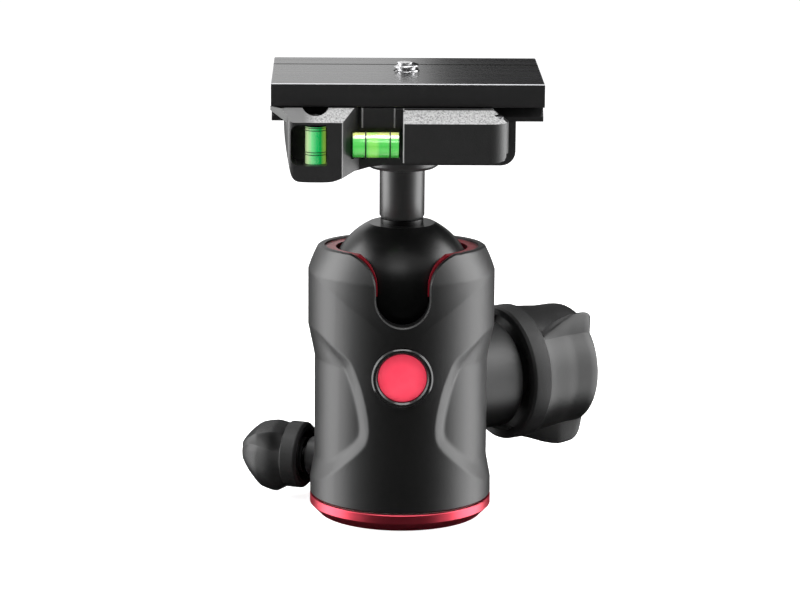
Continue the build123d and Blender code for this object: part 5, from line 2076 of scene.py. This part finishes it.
@dataclass
class SpiritLevel:
    """A level: a clear acrylic tube with ring lines, tinted spirit and a bubble.

    Lengths in millimetres, along the tube from where it is placed. The two chamfers are the tube's ends',
    and the bubble goes from one distance to another with a radius and a shift to one side.
    """

    kind: str
    place: Matrix
    length: float
    radius: float
    bore: float
    wall: float
    chamfers: tuple[float, float]
    lines: Sequence[float]
    line_half: float
    bubble: tuple[float, float]
    bubble_radius: float
    bubble_shift: float
    spirit: Finish

    def tube(self) -> bpy.types.Object:
        """Build the hollow tube.

        Returns:
            The dressed tube.
        """
        low, high = self.chamfers
        outer = (
            (0.0, self.radius - low), (0.3 * low, self.radius - 0.3 * low), (low, self.radius),
            (self.length - high, self.radius), (self.length, self.radius - high),
        )
        tube = turned(f"{self.kind}_level_tube", outer, self.place)
        hollow = ((self.wall, self.bore), (self.length - self.wall, self.bore))
        combine(tube, Change.CUT, turned("hollow", hollow, self.place))
        dress(tube, Finishes.vial_clear)
        shade(tube, 40.0)
        return tube

    def fill(self) -> list[bpy.types.Object]:
        """Build the spirit and the bubble in it.

        Returns:
            Both, dressed.
        """
        low, radius = self.wall + 0.02, self.bore - 0.02
        spirit = turned(f"{self.kind}_spirit_fill", ((low, radius), (self.length - low, radius)), self.place)
        middle, half = sum(self.bubble) / 2, (self.bubble[1] - self.bubble[0]) / 2
        turns = np.linspace(0, math.pi, 12)[1:-1]
        shape = [(middle - math.cos(t) * half, self.bubble_radius * math.sin(t) ** 0.6) for t in turns]
        centre = self.place @ Matrix.Translation((self.bubble_shift, 0.0, 0.0))
        bubble = turned(f"{self.kind}_spirit_bubble", shape, centre, 48)
        combine(spirit, Change.CUT, turned("bubble_room", shape, centre, 48))
        dress(spirit, self.spirit)
        dress(bubble, Finishes.bubble)
        for piece in (spirit, bubble):
            shade(piece, 50.0)
        return [spirit, bubble]

    def line(self, number: int, along: float) -> bpy.types.Object:
        """Build one of the lines round the tube.

        Args:
            number: The line's number.
            along: Where it is on the tube.

        Returns:
            The dressed line.
        """
        low, high = along - self.line_half, along + self.line_half
        inner, outer = self.radius - 0.1, self.radius + 0.012
        band = ((low, inner), (low, outer), (high, outer), (high, inner))
        mark = turned(f"{self.kind}_level_line_{number}", band, self.place)
        dress(mark, Finishes.print_and_shade_black)
        shade(mark, 40.0)
        return mark

    def build(self) -> list[bpy.types.Object]:
        """Build the tube, the spirit, the bubble and the lines.

        Returns:
            The finished pieces.
        """
        tube = Seat(f"{self.kind}_level", "head", "level_acrylic").take(self.tube())
        spirit, bubble = self.fill()
        Seat(f"{self.kind}_spirit", "head", "level_spirit").take(spirit)
        loose = [bubble, *(self.line(number, along) for number, along in enumerate(self.lines))]
        for piece in loose:
            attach(piece, "head")
        return [tube, spirit, *loose]


def spirit_levels() -> tuple[SpiritLevel, SpiritLevel]:
    """Describe the upright and the lying level.

    Returns:
        Both levels.
    """
    upright = SpiritLevel(
        "vertical",
        Matrix.Translation((*UPRIGHT_LEVEL, 94.2)),
        length=10.8,
        radius=2.8,
        bore=2.6,
        wall=0.4,
        chamfers=(0.3, 0.3),
        lines=(3.4, 4.05, 9.5, 10.15),
        line_half=0.08,
        bubble=(9.0, 9.75),
        bubble_radius=1.0,
        bubble_shift=0.0,
        spirit=Finishes.upright_spirit,
    )
    lying = SpiritLevel(
        "horizontal",
        Matrix.Translation((-13.1, *LYING_LEVEL)) @ Matrix.Rotation(math.pi / 2, 4, "Y"),
        length=12.1,
        radius=3.45,
        bore=3.2,
        wall=0.35,
        chamfers=(1.0, 0.2),
        lines=(3.55, 9.6),
        line_half=0.17,
        bubble=(3.85, 6.9),
        bubble_radius=0.6,
        bubble_shift=-2.6,
        spirit=Finishes.lying_spirit,
    )
    return upright, lying


# ---------------------------------------------------------------- studio
@dataclass(frozen=True)
class Panel:
    """One soft light: a lit rectangle that faces the object."""

    name: str
    azimuth: float
    height: float
    reach: float
    width: float
    tall: float
    power: float

    def build(self, aim: Vector) -> None:
        """Add the light.

        Args:
            aim: The point that it faces. Azimuth 0 is in front of the notch, 90 on the +X side.
        """
        turn = math.radians(self.azimuth)
        place = Vector((self.reach * math.sin(turn), -self.reach * math.cos(turn), self.height))
        data = bpy.data.lights.new(self.name, "AREA")
        data.shape = "RECTANGLE"
        data.size, data.size_y = self.width, self.tall
        data.energy = self.power
        light = bpy.data.objects.new(self.name, data)
        light.location = place
        light.rotation_euler = (aim - place).to_track_quat("-Z", "Y").to_euler()
        bpy.context.scene.collection.objects.link(light)


@dataclass(frozen=True)
class Card:
    """A board round the object that only its gloss sees: black, or lit for the pale streaks.

    It stands at a distance from the axis, or lies level from an inner to an outer distance where it
    has an inner one. Azimuth 0 is at the front, and the spread goes to each side of it.
    """

    name: str
    azimuth: float
    spread: float
    reach: float
    low: float = 0.0005
    high: float = 0.3
    inner: float = 0.0
    strength: float = 0.0

    def build(self) -> None:
        """Add the board."""
        steps = 24
        angles = np.radians(np.linspace(self.azimuth - self.spread, self.azimuth + self.spread, steps + 1))
        ends = []
        for reach, height in ((self.inner or self.reach, self.low), (self.reach, self.high)):
            level = self.low if self.inner else height
            ends.append(np.stack([reach * np.sin(angles), -reach * np.cos(angles), 0 * angles + level], 1))
        faces = [(k, k + 1, k + steps + 2, k + steps + 1) for k in range(steps)]
        board = add_mesh(self.name, np.vstack(ends) / MM, faces)
        made = bpy.data.materials.new(self.name)
        made.use_nodes = True
        graph = Graph(made.node_tree)
        if self.strength:
            shader = graph.node("ShaderNodeEmission", {}, {"Color": (1, 1, 1, 1), "Strength": self.strength})
        else:
            shader = graph.node("ShaderNodeBsdfDiffuse", {}, {"Color": (0.004, 0.004, 0.004, 1)})
        graph.node("ShaderNodeOutputMaterial", {}, {"Surface": shader.outputs[0]})
        board.data.materials.append(made)
        board.visible_camera = False
        board.visible_diffuse = False
        board.visible_shadow = False
        board.visible_transmission = False


@dataclass
class Studio:
    """The floor, lights and camera that the object is shown with."""

    aim: Vector = field(default_factory=lambda: Vector((0.0, 0.0, 0.058)))
    panels: Sequence[Panel] = (
        Panel("left_panel", -97.0, 0.17, 0.34, 0.26, 0.34, 1.9),
        Panel("right_panel", 97.0, 0.17, 0.34, 0.26, 0.34, 1.9),
        Panel("top_panel", 0.0, 0.8, 0.05, 0.55, 0.4, 5.0),
        Panel("front_panel", -8.0, 0.75, 0.8, 0.5, 0.3, 1.3),
    )
    cards: Sequence[Card] = (
        Card("front_card", 0.0, 48.0, 0.6, low=-0.5, high=0.45),
        Card("under_card", 0.0, 180.0, 0.6, low=-0.3, inner=0.001),
        Card("back_card", 180.0, 54.0, 0.2, low=-0.3, high=0.082),
        Card("back_flag", 149.0, 29.0, 0.5, low=0.12, high=0.6),
        Card("left_glow", -94.0, 21.5, 0.33, low=-0.2, high=0.1, strength=5.2),
        Card("right_glow", 95.0, 22.5, 0.33, low=-0.2, high=0.1, strength=5.2),
    )
    ambient: float = 0.14
    turn: float = -1.0
    eye_mm: Vector = field(default_factory=lambda: Vector((-0.33, -876.8, 246.2)))
    drop: float = 12.26
    roll: float = 0.0074
    lens_mm: float = 156.7

    def build(self) -> None:
        """Add the camera, world, floor, lights and cards."""
        self._camera()
        self._world()
        self._floor()
        for panel in self.panels:
            panel.build(self.aim)
        for card in self.cards:
            card.build()

    def _camera(self) -> None:
        """Place the camera in front of the object, a little above it."""
        spin = Matrix.Rotation(math.radians(self.turn), 4, "Z")
        tilt = Matrix.Rotation(math.radians(90 - self.drop), 4, "X")
        place = Matrix.Translation(spin @ (self.eye_mm * MM))
        data = bpy.data.cameras.new("camera")
        data.lens, data.sensor_width = self.lens_mm, 36.0
        data.clip_start = 0.05
        camera = bpy.data.objects.new("camera", data)
        camera.matrix_world = place @ spin @ tilt @ Matrix.Rotation(self.roll, 4, "Z")
        bpy.context.scene.collection.objects.link(camera)
        bpy.context.scene.camera = camera

    def _world(self) -> None:
        """Make the world white to the camera, in gloss and through clear pieces, and dim for the rest."""
        bpy.context.scene.view_settings.view_transform = "Standard"
        world = bpy.data.worlds.new("studio_world")
        world.use_nodes = True
        bpy.context.scene.world = world
        graph = Graph(world.node_tree)
        path = graph.node("ShaderNodeLightPath", {}, {})
        seen = Value(graph, path.outputs["Is Camera Ray"])
        gloss = Value(graph, path.outputs["Is Glossy Ray"])
        through = Value(graph, path.outputs["Is Transmission Ray"])
        direct = (seen + gloss + through).above(0.5, 0.5)
        strength = direct * (1.0 - self.ambient) + self.ambient
        sky = graph.node("ShaderNodeBackground", {}, {"Color": (1, 1, 1, 1), "Strength": strength})
        graph.node("ShaderNodeOutputWorld", {}, {"Surface": sky.outputs["Background"]})

    def _floor(self) -> None:
        """Add a wide white floor, just under the object."""
        reach, low = 9000.0, -0.02
        corners = [(x * reach, y * reach, low) for x, y in ((-1, -1), (1, -1), (1, 1), (-1, 1))]
        floor = add_mesh("floor", np.array(corners), [(0, 1, 2, 3)])
        made = bpy.data.materials.new("white_floor")
        made.use_nodes = True
        graph = Graph(made.node_tree)
        path = graph.node("ShaderNodeLightPath", {}, {})
        seen = Value(graph, path.outputs["Is Camera Ray"])
        paint = {"Base Color": (0.9, 0.9, 0.9, 1), "Roughness": 0.9, "Specular IOR Level": 0.0}
        shader = graph.node("ShaderNodeBsdfPrincipled", {}, paint)
        made.cycles.emission_sampling = "NONE"
        glow = graph.node("ShaderNodeEmission", {}, {"Color": (1, 1, 1, 1), "Strength": seen * 0.8})
        parts = {0: shader.outputs["BSDF"], 1: glow.outputs["Emission"]}
        both = graph.node("ShaderNodeAddShader", {}, parts)
        graph.node("ShaderNodeOutputMaterial", {}, {"Surface": both.outputs["Shader"]})
        floor.data.materials.append(made)
        floor.visible_glossy = False


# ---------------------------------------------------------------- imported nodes
@dataclass
class DressedNodes:
    """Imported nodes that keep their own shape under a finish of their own."""

    name: str
    finishes: Mapping[str, Finish]

    def build(self) -> list[bpy.types.Object]:
        """Dress the nodes.

        Returns:
            The dressed objects.
        """
        for node, finish in self.finishes.items():
            dress(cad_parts[node], finish)
        log.info("%s: %d packed nodes keep their shape", self.name, len(self.finishes))
        return [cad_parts[node] for node in self.finishes]


BASE = DressedNodes(
    "base",
    {
        "base_ring": Finishes.red_ring,
        "base_plate": Finishes.plate_black,
        "thread_bushing": Finishes.steel,
        "base_screws": Finishes.dark_steel,
        "pan_spindle": Finishes.aluminium,
        "pan_washer": Finishes.acetal,
        "nut_washer": Finishes.acetal,
        "spindle_nut": Finishes.steel,
    },
)
BALL_LOCK = DressedNodes(
    "ball_lock",
    {
        "ball": Finishes.ball_black,
        "ball_liner": Finishes.liner_red,
        "ball_cup": Finishes.aluminium,
        "ball_seat": Finishes.acetal,
        "lock_bush": Finishes.brass,
        "lock_plunger": Finishes.steel,
        "lock_stud": Finishes.steel,
        "lock_knob_insert": Finishes.brass,
        "lock_knob_cap": Finishes.knob_black,
    },
)
PAN_LOCK = DressedNodes(
    "pan_lock",
    {
        "pan_brake_pad": Finishes.brass,
        "pan_stud": Finishes.steel,
        "pan_bush": Finishes.plate_black,
    },
)
CLAMP_WORKS = DressedNodes(
    "clamp_works",
    {
        "clamp_bolt": Finishes.dark_steel,
        "index_pin": Finishes.steel,
        "jaw_guide_pins": Finishes.steel,
        "jaw_springs": Finishes.steel,
        "screw_clip": Finishes.steel,
    },
)
BADGE = DressedNodes(
    "badge",
    {
        "badge_bezel": Finishes.gloss_black,
        "badge_disc": Finishes.badge_red,
    },
)


def main() -> None:
    """Build the object's looks piece by piece, then the studio round them."""
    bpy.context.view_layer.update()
    assemblies = (
        BASE, BALL_LOCK, PAN_LOCK, CLAMP_WORKS, BADGE, Housing(), lock_knob(), pan_knob(), stem(),
        ClampBody(), Lever(), MovableJaw(), level_plug(), *spirit_levels(), Plate(),
    )
    for assembly in assemblies:
        for piece in assembly.build():
            log.info("%s: %s", type(assembly).__name__, piece.name)
    Studio().build()


if __name__ == "__main__":
    main()
